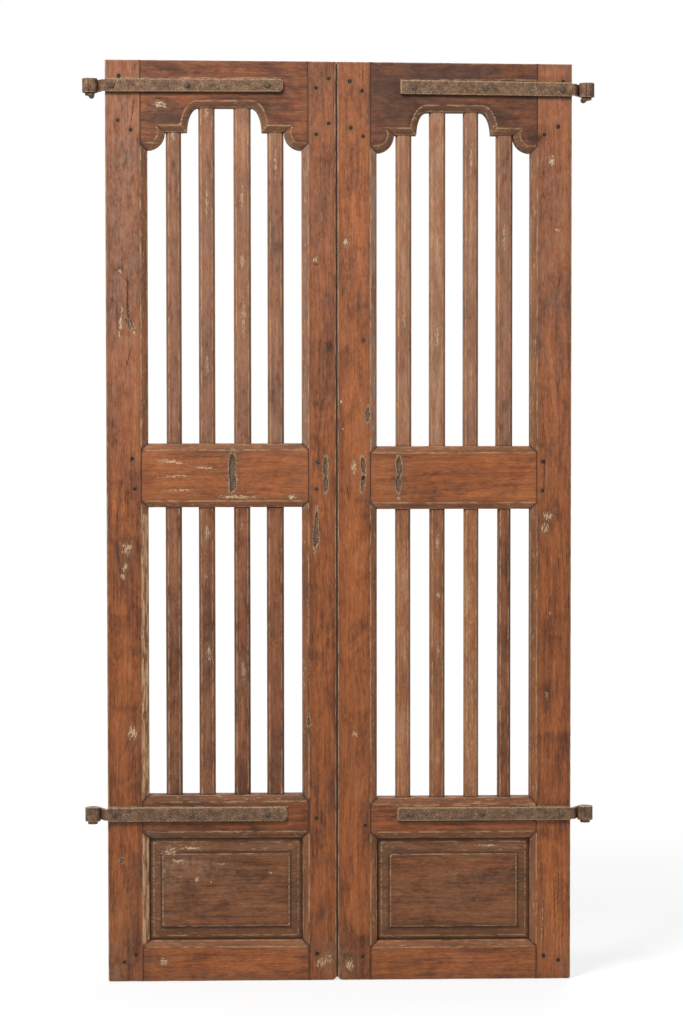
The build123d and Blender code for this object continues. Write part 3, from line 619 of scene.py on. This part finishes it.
def face_areas(points, faces):
    """Each triangle's outward direction, twice its area long."""
    a, b, c = points[faces[:, 0]], points[faces[:, 1]], points[faces[:, 2]]
    return np.cross(b - a, c - a)


def face_normals(points, faces):
    areas = face_areas(points, faces)
    return areas / lengths(areas)


def corner_normals(points, faces):
    total, areas = np.zeros((len(points), 3)), face_areas(points, faces)
    for corner in range(3):
        np.add.at(total, faces[:, corner], areas)
    return total / lengths(total)


def sharp_edges(points, faces, least_angle):
    """The edges sharper than this, as the corners they join, their outward direction and whether they stand out."""
    normals = face_normals(points, faces)
    middles = points[faces].mean(1)
    edges = np.sort(faces[:, [0, 1, 1, 2, 2, 0]].reshape(-1, 2), axis=1)
    owner = np.repeat(np.arange(len(faces)), 3)
    key = edges[:, 0] * len(points) + edges[:, 1]
    order = np.argsort(key, kind="stable")
    key, edges, owner = key[order], edges[order], owner[order]
    same = np.nonzero(key[1:] == key[:-1])[0]
    one, two = owner[same], owner[same + 1]
    found = (normals[one] * normals[two]).sum(1) < math.cos(math.radians(least_angle))
    one, two, ends = one[found], two[found], edges[same][found]
    outward = normals[one] + normals[two]
    standing = (normals[one] * (middles[two] - middles[one])).sum(1) < 0
    return ends, outward / lengths(outward, 1e-9), standing


def ridges(points, faces, least_angle):
    """The corners on standing arrises, the outward push at each, and the corners on hollow ones."""
    ends, outward, standing = sharp_edges(points, faces, least_angle)
    ridge = np.unique(ends[standing])
    push = np.zeros((len(points), 3))
    for corner in (0, 1):
        np.add.at(push, ends[standing][:, corner], outward[standing])
    return ridge, (push / lengths(push, 1e-9))[ridge], np.unique(ends[~standing])


def tree_of(places):
    found = KDTree(max(1, len(places)))
    for i, place in enumerate(places):
        found.insert(place, i)
    found.balance()
    return found


def distances(points, places):
    """How far each point is from the nearest place, and which one that is."""
    if not len(places):
        return np.full(len(points), 1.0), np.zeros(len(points), int)
    found = tree_of(places)
    hits = [found.find(p) for p in points]
    return np.array([h[2] for h in hits]), np.array([h[1] for h in hits])


def rubbed(points, push, gap, wear, width):
    """The points drawn in from their nearest arris by this wear, which fades over this width."""
    return points - push * (wear * np.exp(-((gap / width) ** 2)))[:, None]


def steps(low, high, pitch, near=()):
    """Cuts from low to high at about this pitch, with closer ones beside the places that are near."""
    cuts = list(np.linspace(low, high, max(2, int(round((high - low) / pitch)) + 1)))[1:-1]
    for line in near:
        for gap in (0.0012, 0.0026, 0.005):
            cuts += [line - gap, line + gap]
    return [c for c in cuts if low < c < high]


def in_mark(points, x, z, half_width, half_height, lean=0.0):
    """Each point's place in a mark, sideways and upwards, with 1 at its outline."""
    turn = math.radians(lean)
    across, along = points[:, 0] - x * MM, points[:, 2] - z * MM
    side = (across * math.cos(turn) - along * math.sin(turn)) / (half_width * MM)
    return side, (across * math.sin(turn) + along * math.cos(turn)) / (half_height * MM)


def mark_reach(points, marks):
    """How far each point is from the closest mark: 0 at its middle and 1 at its outline."""
    found = np.full(len(points), 4.0)
    for *mark, _ in marks:
        found = np.minimum(found, np.hypot(*in_mark(points, *mark)))
    return found


def mark_depth(points, marks, seed):
    """How deep the marks on the front sink each point, and nothing on the back."""
    sunk = np.zeros(len(points))
    bent = points + 0.0015 * three_ripples(points, 0.009, seed)
    for *mark, depth in marks:
        side, up = in_mark(bent, *mark)
        sunk = np.maximum(sunk, depth * MM * np.sqrt(np.clip(1 - (side * side + up * up), 0, 1)))
    return sunk * (points[:, 1] < middle_y)


def mesh_of(name, points, faces, finish, smooth_angle=32):
    mesh = bpy.data.meshes.new(name)
    mesh.from_pydata(points.tolist(), [], faces.tolist())
    mesh.shade_smooth()
    mesh.set_sharp_from_angle(angle=math.radians(smooth_angle))
    mesh.materials.append(finish)
    return mesh


def store(mesh, **named_values):
    """Attributes with a number or three for each point, or else for each corner of each triangle."""
    for name, values in named_values.items():
        kind, field = ("FLOAT_VECTOR", "vector") if values.ndim == 2 else ("FLOAT", "value")
        domain = "POINT" if len(values) == len(mesh.vertices) else "CORNER"
        mesh.attributes.new(name, kind, domain).data.foreach_set(field, values.astype(np.float32).ravel())


def put_in_place(name, mesh, body, nodes):
    piece = bpy.data.objects.new(name, mesh)
    bpy.context.scene.collection.objects.link(piece)
    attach(piece, body)
    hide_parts(*nodes)


def islands(points, faces):
    """The separate bodies of a skin, each as its low and high corners."""
    parent = list(range(len(points)))

    def top(i):
        while parent[i] != i:
            parent[i] = parent[parent[i]]
            i = parent[i]
        return i

    for a, b, c in faces.tolist():
        parent[top(a)] = top(b)
        parent[top(b)] = top(c)
    owner = np.array([top(i) for i in range(len(points))])
    return [(points[owner == i].min(0), points[owner == i].max(0)) for i in np.unique(owner)]


# Boards

# How much painted sheen lies on each board's upper half, and how much warmer or darker each board is
board_looks = {
    "left_hinge_stile": (0.8, 0.0), "left_meeting_stile": (0.35, -0.1), "left_top_rail": (0.15, -0.9),
    "left_lock_rail": (0.4, 0.4), "left_lower_rail": (0.5, -1.0), "left_bottom_rail": (0.0, 0.1),
    "left_panel": (0.0, 0.1), "right_hinge_stile": (0.5, 0.1), "right_meeting_stile": (0.25, 0.2),
    "right_top_rail": (0.15, -1.6), "right_lock_rail": (0.1, 0.4), "right_lower_rail": (0.0, 0.1),
    "right_bottom_rail": (0.0, 0.4), "right_panel": (0.0, 0.2),
}
# The painted sheen on the bevels beside the upper lights, and how much darker that bevel is
bevel_looks = {"left_hinge_stile": (0.0, -0.9), "left_meeting_stile": (1.5, 0.0), "right_meeting_stile": (1.9, 0.0)}


def board_cuts(node):
    """Where a board's skin is divided: closer along its arrises and at the marks on it."""
    low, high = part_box(node)
    cuts_x = steps(low.x, high.x, 0.004 if node.endswith("stile") else 0.006, (low.x, high.x))
    cuts_z = steps(low.z, high.z, 0.006, (low.z, high.z))
    cuts_y = [middle_y] + (seam_cuts if "meeting" in node else [])
    for gap in (0.0012, 0.003, 0.008):
        cuts_y += [front_y + gap, back_y - gap]
    for mark in hollows + knots + chips:
        x, z, half_width, half_height = (size * MM for size in mark[:4])
        if not (low.x < x < high.x and low.z < z < high.z):
            continue
        if mark[5] >= 1.5:
            cuts_x += list(np.arange(x - half_width - 0.002, x + half_width + 0.002, 0.002))
            cuts_z += list(np.arange(z - half_height - 0.002, z + half_height + 0.002, 0.004))
        else:
            cuts_z += [z + half_height * share for share in (-1.4, -0.7, 0, 0.7, 1.4)]
    clear = 0.0002
    return [
        [c for c in cuts if low[axis] + clear < c < high[axis] - clear]
        for axis, cuts in enumerate((cuts_x, cuts_y, cuts_z))
    ]


def field_lines(points, side):
    """For a panel: the signed gap to its raised field's edge, and the gap to the painted shade and grime round the
    field.
    """
    low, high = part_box(side + "_panel")
    x, z = points[:, 0], points[:, 2]
    field_x = np.abs(x - (low.x + high.x) / 2) - ((high.x - low.x) / 2 - field_in_side)
    foot = low.z + field_in_foot
    to_field = np.maximum(field_x, np.maximum(foot - z, z - (high.z - field_in_head)))
    # the painted shade is widest along the foot of the field, where the step's shadow falls, with some grime in the
    # quirk
    return to_field, np.abs(to_field - 0.0016) * np.where(z < foot, 0.4, 0.8)


def frame_line(points, side):
    """For a panel: the gap from each point to the frame round it."""
    left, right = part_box(side + "_hinge_stile"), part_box(side + "_meeting_stile")
    if side == "right":
        left, right = right, left
    x, z = points[:, 0], points[:, 2]
    sides = np.minimum(np.abs(x - left[1].x), np.abs(x - right[0].x))
    foot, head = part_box(side + "_bottom_rail")[1].z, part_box(side + "_lower_rail")[0].z
    return np.minimum(sides, np.minimum(np.abs(z - foot), np.abs(z - head)))


def strap_lines(points, side):
    """The gap from each point up to a strap it lies under, and down to a strap it lies over."""
    under, over = np.full(len(points), 1.0), np.full(len(points), 1.0)
    for level in ("top", "bottom"):
        low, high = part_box(side + "_" + level + "_strap")
        beside = np.maximum(np.maximum(low.x - points[:, 0], points[:, 0] - high.x), 0)
        below, above = low.z - points[:, 2], points[:, 2] - high.z
        under = np.minimum(under, np.where(below > -0.004, np.hypot(np.maximum(below, 0), beside), 1.0))
        over = np.minimum(over, np.where(above > -0.003, np.hypot(np.maximum(above - 0.0008, 0), beside), 1.0))
    return under, over


parts = ("hinge_stile", "meeting_stile", "top_rail", "lock_rail", "lower_rail", "bottom_rail", "panel")
boards = [side + "_" + part for side in ("left", "right") for part in parts]

# The arrises of all boards, sampled along their length, tell which ones meet a neighbour
arris_points, arris_board = [], []
for number, node in enumerate(boards):
    points, faces = skin(node)
    ends, _, standing = sharp_edges(points, faces, 20)
    for a, b in ends[standing]:
        length = np.linalg.norm(points[a] - points[b])
        for share in np.linspace(0, 1, max(2, int(length / 0.003))):
            arris_points.append(points[a] * (1 - share) + points[b] * share)
            arris_board.append(number)
arris_tree = tree_of(arris_points)


def meets_neighbour(place, number):
    return any(arris_board[i] != number for _, i, _ in arris_tree.find_range(place, 0.0032))


def filled_seam(points, moved, node):
    """Fills out the meeting edge in the middle of its depth, so that the two leaves nearly touch there."""
    outer, inner = (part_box(node)[1].x, 1) if node.startswith("left") else (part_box(node)[0].x, -1)
    x, y = points[:, 0], points[:, 1]
    at_seam = (np.abs(x - outer) < 0.0013) & (y < -0.009) & (y > -0.0275)
    full = np.clip(1 - np.maximum(np.abs(y - seam_land_y) - seam_land_half, 0) / seam_land_fade, 0, 1)
    moved[:, 0] += np.where(at_seam, full * (outer + inner * seam_fill - x), 0)


def looks_of(points, node):
    """Each point's tone, dust and painted sheen."""
    tone, dust = np.zeros(len(points)), np.zeros(len(points))
    for *mark, warmer, dustier in patches:
        across, up = in_mark(points, *mark)
        share = np.exp(-(across**2 + up**2))
        tone += warmer * share
        dust += dustier * share * (points[:, 1] < middle_y)
    height = np.clip((points[:, 2] - 0.8) / 0.7, 0, 1)
    film = board_looks[node][0] * height * height * (3 - 2 * height)
    if node in bevel_looks:
        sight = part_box(node)[1 if node in ("left_hinge_stile", "right_meeting_stile") else 0].x
        on_bevel = np.abs(points[:, 0] - sight) < bevel_width + 0.0005
        on_bevel &= (points[:, 1] < middle_y) & (points[:, 2] > 0.95)
        # the bevels beside the upper lights take their own painted sheen
        film = np.where(on_bevel, bevel_looks[node][0], film)
        tone += np.where(on_bevel, bevel_looks[node][1], 0)
    return tone + board_looks[node][1], np.clip(dust, 0, 1), film


def bevel_wear(points, faces, node):
    """How worn each triangle is as a bevel; a panel's whole margin counts as one."""
    middles = points[faces].mean(1)
    if node.endswith("panel"):
        plain = (field_lines(middles, node.split("_")[0])[0] < 0) | (middles[:, 1] > middle_y)
        return np.where(plain, 0.0, 0.6 + 0.5 * ripple(middles, 0.03, 17))
    toward = face_normals(points, faces)[:, 1]
    low_down = middles[:, 2] < 0.94
    heavy = {"left_hinge_stile": low_down * 1.0, "right_hinge_stile": ~low_down * 0.15}.get(node, 0.0)
    return np.where((toward < -0.6) & (toward > -0.985), 0.9 + heavy, 0.0)


def weathered(node, number):
    """A worn copy of a board: arrises rubbed, chipped and bruised, faces a little uneven, marks sunk in."""
    side, is_panel = node.split("_")[0], node.endswith("panel")
    points, faces = skin(node, board_cuts(node))
    ridge, push, hollow_edges = ridges(points, faces, 20)
    joined = np.array([meets_neighbour(points[i], number) for i in ridge], bool)
    gap_ridge, near = distances(points, points[ridge])
    gap_free, _ = distances(points, points[ridge[~joined]])
    gap_shared, _ = distances(points, points[ridge[joined]])
    gap_hollow, _ = distances(points, points[hollow_edges])
    gap_dark = np.minimum(gap_shared * 1.5, gap_hollow)
    # wear: more where the noise says so, little where two boards meet
    nicks = np.clip(ripple(points, (0.007, 0.007, 0.011), 11 + number) - 0.45, 0, 1)
    wave = ripple(points, 0.045, 5 + number) * 0.5 + 0.5
    wear = np.where(joined[near], 0.00025 + 0.0003 * wave, 0.00035 + 0.0006 * wave + 0.0042 * nicks)
    moved = rubbed(points, push[near], gap_ridge, wear, 0.0022)
    # faces: a little hollow and uneven, and only ever inwards
    uneven = 0.00022 * (ripple(points, (0.05, 0.05, 0.16), 40 + number) + 1)
    uneven += 0.00008 * (ripple(points, (0.012, 0.012, 0.05), 60 + number) + 1)
    on_front = np.abs(points[:, 1] - front_y) < 1e-5
    facing = points[:, 1] < panel_front_y if is_panel else on_front
    on_back = np.abs(points[:, 1] - back_y) < 1e-5
    moved[:, 1] += np.where(facing | on_front, 1, np.where(on_back, -1, 0)) * uneven
    if "meeting" in node:
        filled_seam(points, moved, node)
    sunk = mark_depth(points, hollows + chips + knots, 70) + mark_depth(points, cracks, 71)
    moved[:, 1] += np.where(facing, sunk, 0)
    # painted shadow below the straps and dust along their tops; on a panel, painted shade along the frame and round the
    # field, with some grime
    under, over = strap_lines(points, side)
    gap_dark = np.minimum(gap_dark, np.where(on_front, under, 1.0))
    gap_free = np.minimum(gap_free, np.where(on_front, over, 1.0))
    if is_panel:
        to_frame, (to_field, field_shade_and_grime) = frame_line(points, side), field_lines(points, side)
        ahead = points[:, 1] < middle_y
        # pale lines just inside the field's edge, partly a worn arris and partly a painted highlight on the field's lit
        # step, and one on the margin near the frame
        pale = np.minimum(np.abs(to_field + 0.0016), np.abs(to_frame - 0.0085))
        # painted shadow of the frame across the panel's edge, and painted shade round the raised field
        gap_dark = np.minimum(gap_dark, np.where(ahead, np.minimum(to_frame * 0.4, field_shade_and_grime), to_frame * 0.8))
        gap_free = np.minimum(gap_free, np.where(ahead, pale, 1.0))
    mesh = mesh_of(node + "_board", moved, faces, panel_teak if is_panel else framing_teak)
    grain = points if node.endswith("stile") else points[:, [2, 1, 0]]
    grain = grain + np.array([0.37, 0.11, 0.53]) * (number + 1)
    tone, dust, film = looks_of(points, node)
    store(mesh, grain=grain, edge=np.minimum(gap_free, 0.02), crease=np.minimum(gap_dark, 0.02))
    store(mesh, tone=tone, dust=dust, film=film, bevel=np.repeat(bevel_wear(points, faces, node), 3))
    hollow, chip, knot = (mark_reach(points, marks) + 0.12 * is_panel for marks in (hollows, chips, knots))
    store(mesh, hollow=hollow, chip=chip, knot=knot)
    put_in_place(node + "_board", mesh, side + "_leaf", [node])


for number, node in enumerate(boards):
    weathered(node, number)


# Bars, pegs and nails, set out by Geometry Nodes


def bar_bench():
    """Upright bars: each place is a bar's foot, and its width and height come with the place."""
    bench = Bench("upright_bars", {"Depth": 0.02, "Arris": 0.005}, 3, bar_teak)
    # a block 8 columns wide, 5 rows deep and 149 rows high
    size = {"Size": (1, 1, 1), "Vertices X": 9, "Vertices Y": 6, "Vertices Z": 150}
    block = bench.node("GeometryNodeMeshCube", None, size)
    block = bench.kept(block, "unit", bench.node("GeometryNodeInputPosition"), "FLOAT_VECTOR")
    # each bar is planed a chance hair narrower than its mortise
    places = bench.kept(bench.given("Places"), "planed", bench.chance(0.4 * MM))
    loose = bench.loose(bench.set_out(block, places))
    x, y, z = bench.parted(bench.brought("unit", "FLOAT_VECTOR"))
    arris, depth = bench.given("Arris"), bench.given("Depth")
    # across: columns 0 to 4 from the middle, the last of them on the side
    column = x.maths("ABSOLUTE") * 8.0
    half = (bench.brought("width") - bench.brought("planed")) * 0.5
    reach = column.least(3.0) / 3.0 * (half - arris) + (column - 3.0).most(0.0) * arris
    # through: rows 0 to 5 from the front, the first two on the chamfer's height
    row = (y + 0.5) * 5.0
    through = row.least(1.0) * arris + (row - 1.0).most(0.0) / 4.0 * (depth - arris)
    # the corner between them is pulled back to the middle of the chamfer
    pull = column.maths("GREATER_THAN", 3.5) * row.maths("LESS_THAN", 0.5) * (arris * 0.5)
    where = bench.joined(
        bench.brought("middle") + (reach - pull) * x.maths("SIGN"),
        bench.brought("front") + (through + pull),
        bench.brought("foot") + (z + 0.5) * bench.brought("height"),
    )
    return bench.finish(bench.node("GeometryNodeSetPosition", None, {"Geometry": loose, "Position": where}))


def peg_bench():
    """Pegs that run through the leaf: each place is a peg's middle, and its length comes with the place."""
    bench = Bench("tenon_pegs", {"Radius": 0.003, "Sides": 8}, 7, peg_end_grain)
    values = {"Vertices": bench.given("Sides"), "Side Segments": 4, "Fill Segments": 2}
    values.update({"Radius": bench.given("Radius"), "Depth": 1.0})
    shaft = bench.node("GeometryNodeMeshCylinder", {"fill_type": "TRIANGLE_FAN"}, values)
    turn = bench.joined(math.pi / 2, bench.chance(6.283), 0.0)
    scale = bench.joined(1.0, 1.0, bench.brought("length"))
    return bench.finish(bench.set_out(shaft, Rotation=turn, Scale=scale))


def nail_bench():
    """Forged nail heads: each place is the middle of a head's foot, and the head rises toward the viewer."""
    bench = Bench("clout_nails", {"Radius": 0.00625, "Rise": 0.003}, 12, nail_iron)
    ball = bench.node("GeometryNodeMeshUVSphere", None, {"Segments": 18, "Rings": 12, "Radius": 1.0})
    x, y, z = bench.parted(bench.node("GeometryNodeInputPosition"))
    toward = z.most(0.0).maths("POWER", 0.75) * bench.given("Rise") * -1.0
    where = bench.joined(x * bench.given("Radius"), toward, y * bench.given("Radius"))
    head = bench.node("GeometryNodeSetPosition", None, {"Geometry": ball, "Position": where})
    return bench.finish(bench.set_out(head, Rotation=bench.joined(0.0, bench.chance(6.283), 0.0)))


# How much warmer or darker each bar is: four upper ones, then four lower ones
sways = {"left": (0.1, 0.3, 0.9, 0.4, -0.7, -0.7, -0.8, -0.6), "right": (0.2, 1.2, 1.9, 1.6, -0.5, 1.9, 0.8, 1.5)}


def barred(side, bench):
    """One leaf's eight bars in one worn mesh."""
    nodes = [side + "_" + row + "_bar_" + str(i) for row in ("upper", "lower") for i in range(1, 5)]
    boxes = [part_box(n) for n in nodes]
    middles = [(low.x + high.x) / 2 for low, high in boxes]
    points, faces = bench.make(
        [(middle, low.y, low.z) for middle, (low, high) in zip(middles, boxes)],
        {
            "width": [high.x - low.x for low, high in boxes],
            "height": [high.z - low.z for low, high in boxes],
            "middle": middles,
            "front": [low.y for low, high in boxes],
            "foot": [low.z for low, high in boxes],
        },
    )
    ridge, push, _ = ridges(points, faces, 25)
    gap, near = distances(points, points[ridge])
    nicks = np.clip(ripple(points, (0.006, 0.006, 0.014), 91) - 0.4, 0, 1)
    wear = 0.0002 + 0.0005 * (ripple(points, (0.03, 0.03, 0.07), 92) * 0.5 + 0.5) + 0.003 * nicks
    mesh = mesh_of(side + "_bars", rubbed(points, push[near], gap, wear, 0.0022), faces, bar_teak)
    x, z, which = points[:, 0], points[:, 2], np.zeros(len(points), int)
    for i, (low, high) in enumerate(boxes):
        which[(x > low.x - 1e-4) & (x < high.x + 1e-4) & (z > low.z - 1e-4) & (z < high.z + 1e-4)] = i
    lock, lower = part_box(side + "_lock_rail"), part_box(side + "_lower_rail")
    # painted shade, with some grime, where the bars run into the rails; it is stored as their crease
    at_rail = np.min([np.abs(z - height) for height in (lock[0].z, lock[1].z, lower[1].z)], axis=0)
    toward = face_normals(points, faces)[:, 1]
    tone = np.array(sways[side])[which] + 0.8 * ripple(points, (0.2, 0.2, 0.12), 93)
    dust = np.clip(0.2 + 0.4 * ripple(points, (0.1, 0.1, 0.09), 94), 0, 1)
    grain = points + np.array([0.61, 0.23, 0.47]) * (which + 1)[:, None]
    bevel = np.repeat(np.where((toward < -0.5) & (toward > -0.93), 0.3, 0.0), 3)
    store(mesh, grain=grain, edge=np.minimum(gap, 0.02), crease=np.minimum(at_rail, 0.02), bevel=bevel)
    # a painted sheen on the upper bars
    store(mesh, tone=tone, dust=dust, film=np.where(z > 1.0, 0.75, 0.0))
    # the bars have flecks, and neither hollows nor knots
    far = mark_reach(points, [])
    store(mesh, hollow=far, chip=mark_reach(points, flecks) + 0.18, knot=far)
    put_in_place(side + "_bars", mesh, side + "_leaf", nodes)


def pegged(side, bench):
    spots = islands(*skin(side + "_tenon_pegs"))
    # their ends lie at three depths, a little below the leaf's faces
    points, faces = bench.make(
        [((low[0] + high[0]) / 2, middle_y, (low[2] + high[2]) / 2) for low, high in spots],
        {"length": [high[1] - low[1] - 0.0012 - 0.0009 * (i % 3) for i, (low, high) in enumerate(spots)]},
    )
    points += 0.00012 * three_ripples(points, 0.003, 120)
    mesh = mesh_of(side + "_pegs", points, faces, peg_end_grain, 30)
    put_in_place(side + "_pegs", mesh, side + "_leaf", [side + "_tenon_pegs"])


def nailed(side, strap, bench):
    spots = islands(*skin(strap + "_nails"))
    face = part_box(strap)[0].y
    points, faces = bench.make([((low[0] + high[0]) / 2, face + 0.0003, (low[2] + high[2]) / 2) for low, high in spots])
    points += 0.0003 * three_ripples(points, 0.004, 130) * (points[:, 1:2] < face)
    points[:, 1] = np.maximum(points[:, 1], cad_low[1] + 0.0001)
    mesh = mesh_of(strap + "_heads", points, faces, nail_iron, 50)
    store(mesh, edge=np.full(len(points), 0.004), settled=np.ones(len(points)))
    put_in_place(strap + "_heads", mesh, side + "_leaf", [strap + "_nails"])


def forged(node, body, pitch, hammer, seed, pin_x, settled):
    """A forged copy of an iron piece: hammered faces, rounded and nicked arrises, and a true eye round its pin."""
    low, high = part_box(node)
    points, faces = skin(node, [steps(low[axis], high[axis], pitch[axis]) for axis in range(3)])
    ridge, push, _ = ridges(points, faces, 28)
    gap, near = distances(points, points[ridge])
    around = np.hypot(points[:, 0] - pin_x, points[:, 1] - pin_y)
    for radius, slack in ((eye_radius, 0.0003), (bore_radius, 0.00002), (pin_radius, 0.00002)):
        factor = np.where(np.abs(around - radius) < slack, radius / np.maximum(around, 1e-6), 1.0)
        points[:, 0] = pin_x + (points[:, 0] - pin_x) * factor
        points[:, 1] = pin_y + (points[:, 1] - pin_y) * factor
    bored = around < bore_radius + 0.001
    blows = 0.5 * (ripple(points, (0.014, 0.014, 0.011), seed) + 1) + 0.35 * (ripple(points, 0.005, seed + 1) + 1)
    nicks = np.clip(ripple(points, 0.007, seed + 2) - 0.35, 0, 1)
    wear = 0.0003 + 0.0003 * (ripple(points, 0.02, seed + 3) + 1) + 0.0022 * nicks
    moved = points - corner_normals(points, faces) * np.where(bored, 0, hammer * blows)[:, None]
    moved = rubbed(moved, push[near], gap, np.where(bored, 0, wear), 0.0018)
    if node.endswith("strap"):
        # the lap of the rolled eye shows as an upright groove toward the viewer
        lap = np.abs(points[:, 0] - (pin_x + (0.002 if node.startswith("left") else 0.001)))
        on_eye = (around > 0.0148) & (points[:, 1] < pin_y - 0.009)
        moved[:, 1] += np.where(on_eye, 0.0014 * np.exp(-((lap / 0.0016) ** 2)), 0)
    mesh = mesh_of(node + "_worn", moved, faces, forged_iron, 40)
    store(mesh, edge=np.minimum(gap, 0.02), settled=np.full(len(points), settled))
    put_in_place(node + "_worn", mesh, body, [node])


bars, pegs, nails = bar_bench(), peg_bench(), nail_bench()
barred("left", bars)
barred("right", bars)
for side, pin_x in (("left", -pin_out), ("right", pin_out)):
    pegged(side, pegs)
    for hinge in (side + "_top_", side + "_bottom_"):
        forged(hinge + "strap", side + "_leaf", (0.003, 0.0025, 0.0024), 0.00035, 200, pin_x, 1.0)
        forged(hinge + "pintle", "pintles", (0.003, 0.003, 0.003), 0.0002, 300, pin_x, 0.2)
        nailed(side, hinge + "strap", nails)


# Floor, light and camera


def stage_floor():
    """A pale floor that takes the shadow near the door and is plain white far off."""
    finish = Finish(bpy.data.materials.new("pale_floor"))
    camera_ray = finish.node("ShaderNodeLightPath", out="Is Camera Ray")
    away = finish.vectors("LENGTH", finish.place(), out="Value")
    whiter = camera_ray * (away.rising(1.3, 2.9) * 0.3 + 0.7)
    plain = finish.node("ShaderNodeBsdfDiffuse", None, {"Color": (0.86, 0.86, 0.86, 1)})
    bright = finish.node("ShaderNodeEmission", None, {"Color": (1, 1, 1, 1), "Strength": 1.02})
    shader = finish.node("ShaderNodeMixShader", None, {0: whiter, 1: plain, 2: bright})
    finish.node("ShaderNodeOutputMaterial", None, {0: shader})
    work = bmesh.new()
    bmesh.ops.create_grid(work, x_segments=1, y_segments=1, size=30)
    mesh = bpy.data.meshes.new("floor")
    work.to_mesh(mesh)
    work.free()
    mesh.materials.append(finish.owner)
    floor = bpy.data.objects.new("floor", mesh)
    floor.location.z = -0.0005
    bpy.context.scene.collection.objects.link(floor)


def sky():
    """A dim, even sky that looks white to the camera, in reflections and through openings."""
    finish = Finish(bpy.data.worlds.new("studio"))
    bpy.context.scene.world = finish.owner
    camera_ray = finish.node("ShaderNodeLightPath", out="Is Camera Ray")
    seen = camera_ray.most(camera_ray.beside("Is Glossy Ray")).most(camera_ray.beside("Is Transmission Ray"))
    dim = finish.node("ShaderNodeBackground", None, {"Color": (1, 1, 1, 1), "Strength": 0.45})
    white = finish.node("ShaderNodeBackground", None, {"Color": (1, 1, 1, 1), "Strength": 1.0})
    shader = finish.node("ShaderNodeMixShader", None, {0: seen, 1: dim, 2: white})
    finish.node("ShaderNodeOutputWorld", None, {0: shader})


def lamp(name, place, aim, size, power):
    light = bpy.data.lights.new(name, "AREA")
    light.shape = "DISK"
    light.size = size
    light.energy = power
    holder = bpy.data.objects.new(name, light)
    holder.location = place
    holder.rotation_euler = (Vector(aim) - Vector(place)).to_track_quat("-Z", "Y").to_euler()
    bpy.context.scene.collection.objects.link(holder)


def photographer(place, yaw, pitch, roll, lens):
    """The camera, with its angles in degrees: yaw to the left, pitch upwards, roll to the left."""
    camera = bpy.data.cameras.new("camera")
    camera.lens = lens
    camera.sensor_width = 36
    eye = bpy.data.objects.new("camera", camera)
    bpy.context.scene.collection.objects.link(eye)
    bpy.context.scene.camera = eye
    eye.matrix_world = Matrix.Translation(place)
    for angle, axis in ((yaw, "Z"), (90 + pitch, "X"), (roll, "Z")):
        eye.matrix_world @= Matrix.Rotation(math.radians(angle), 4, axis)


stage_floor()
sky()
lamp("high_front_left", (-1.4, -2.4, 4.2), (0, 0, 1.1), 1.2, 190)
lamp("high_back", (0.8, 2.6, 3.2), (0, 0, 1.0), 2.0, 60)
photographer((-0.1677, -5.6305, 1.1592), -1.757, -2.195, -0.056, 98.4)
bpy.context.scene.view_settings.view_transform = "Standard"
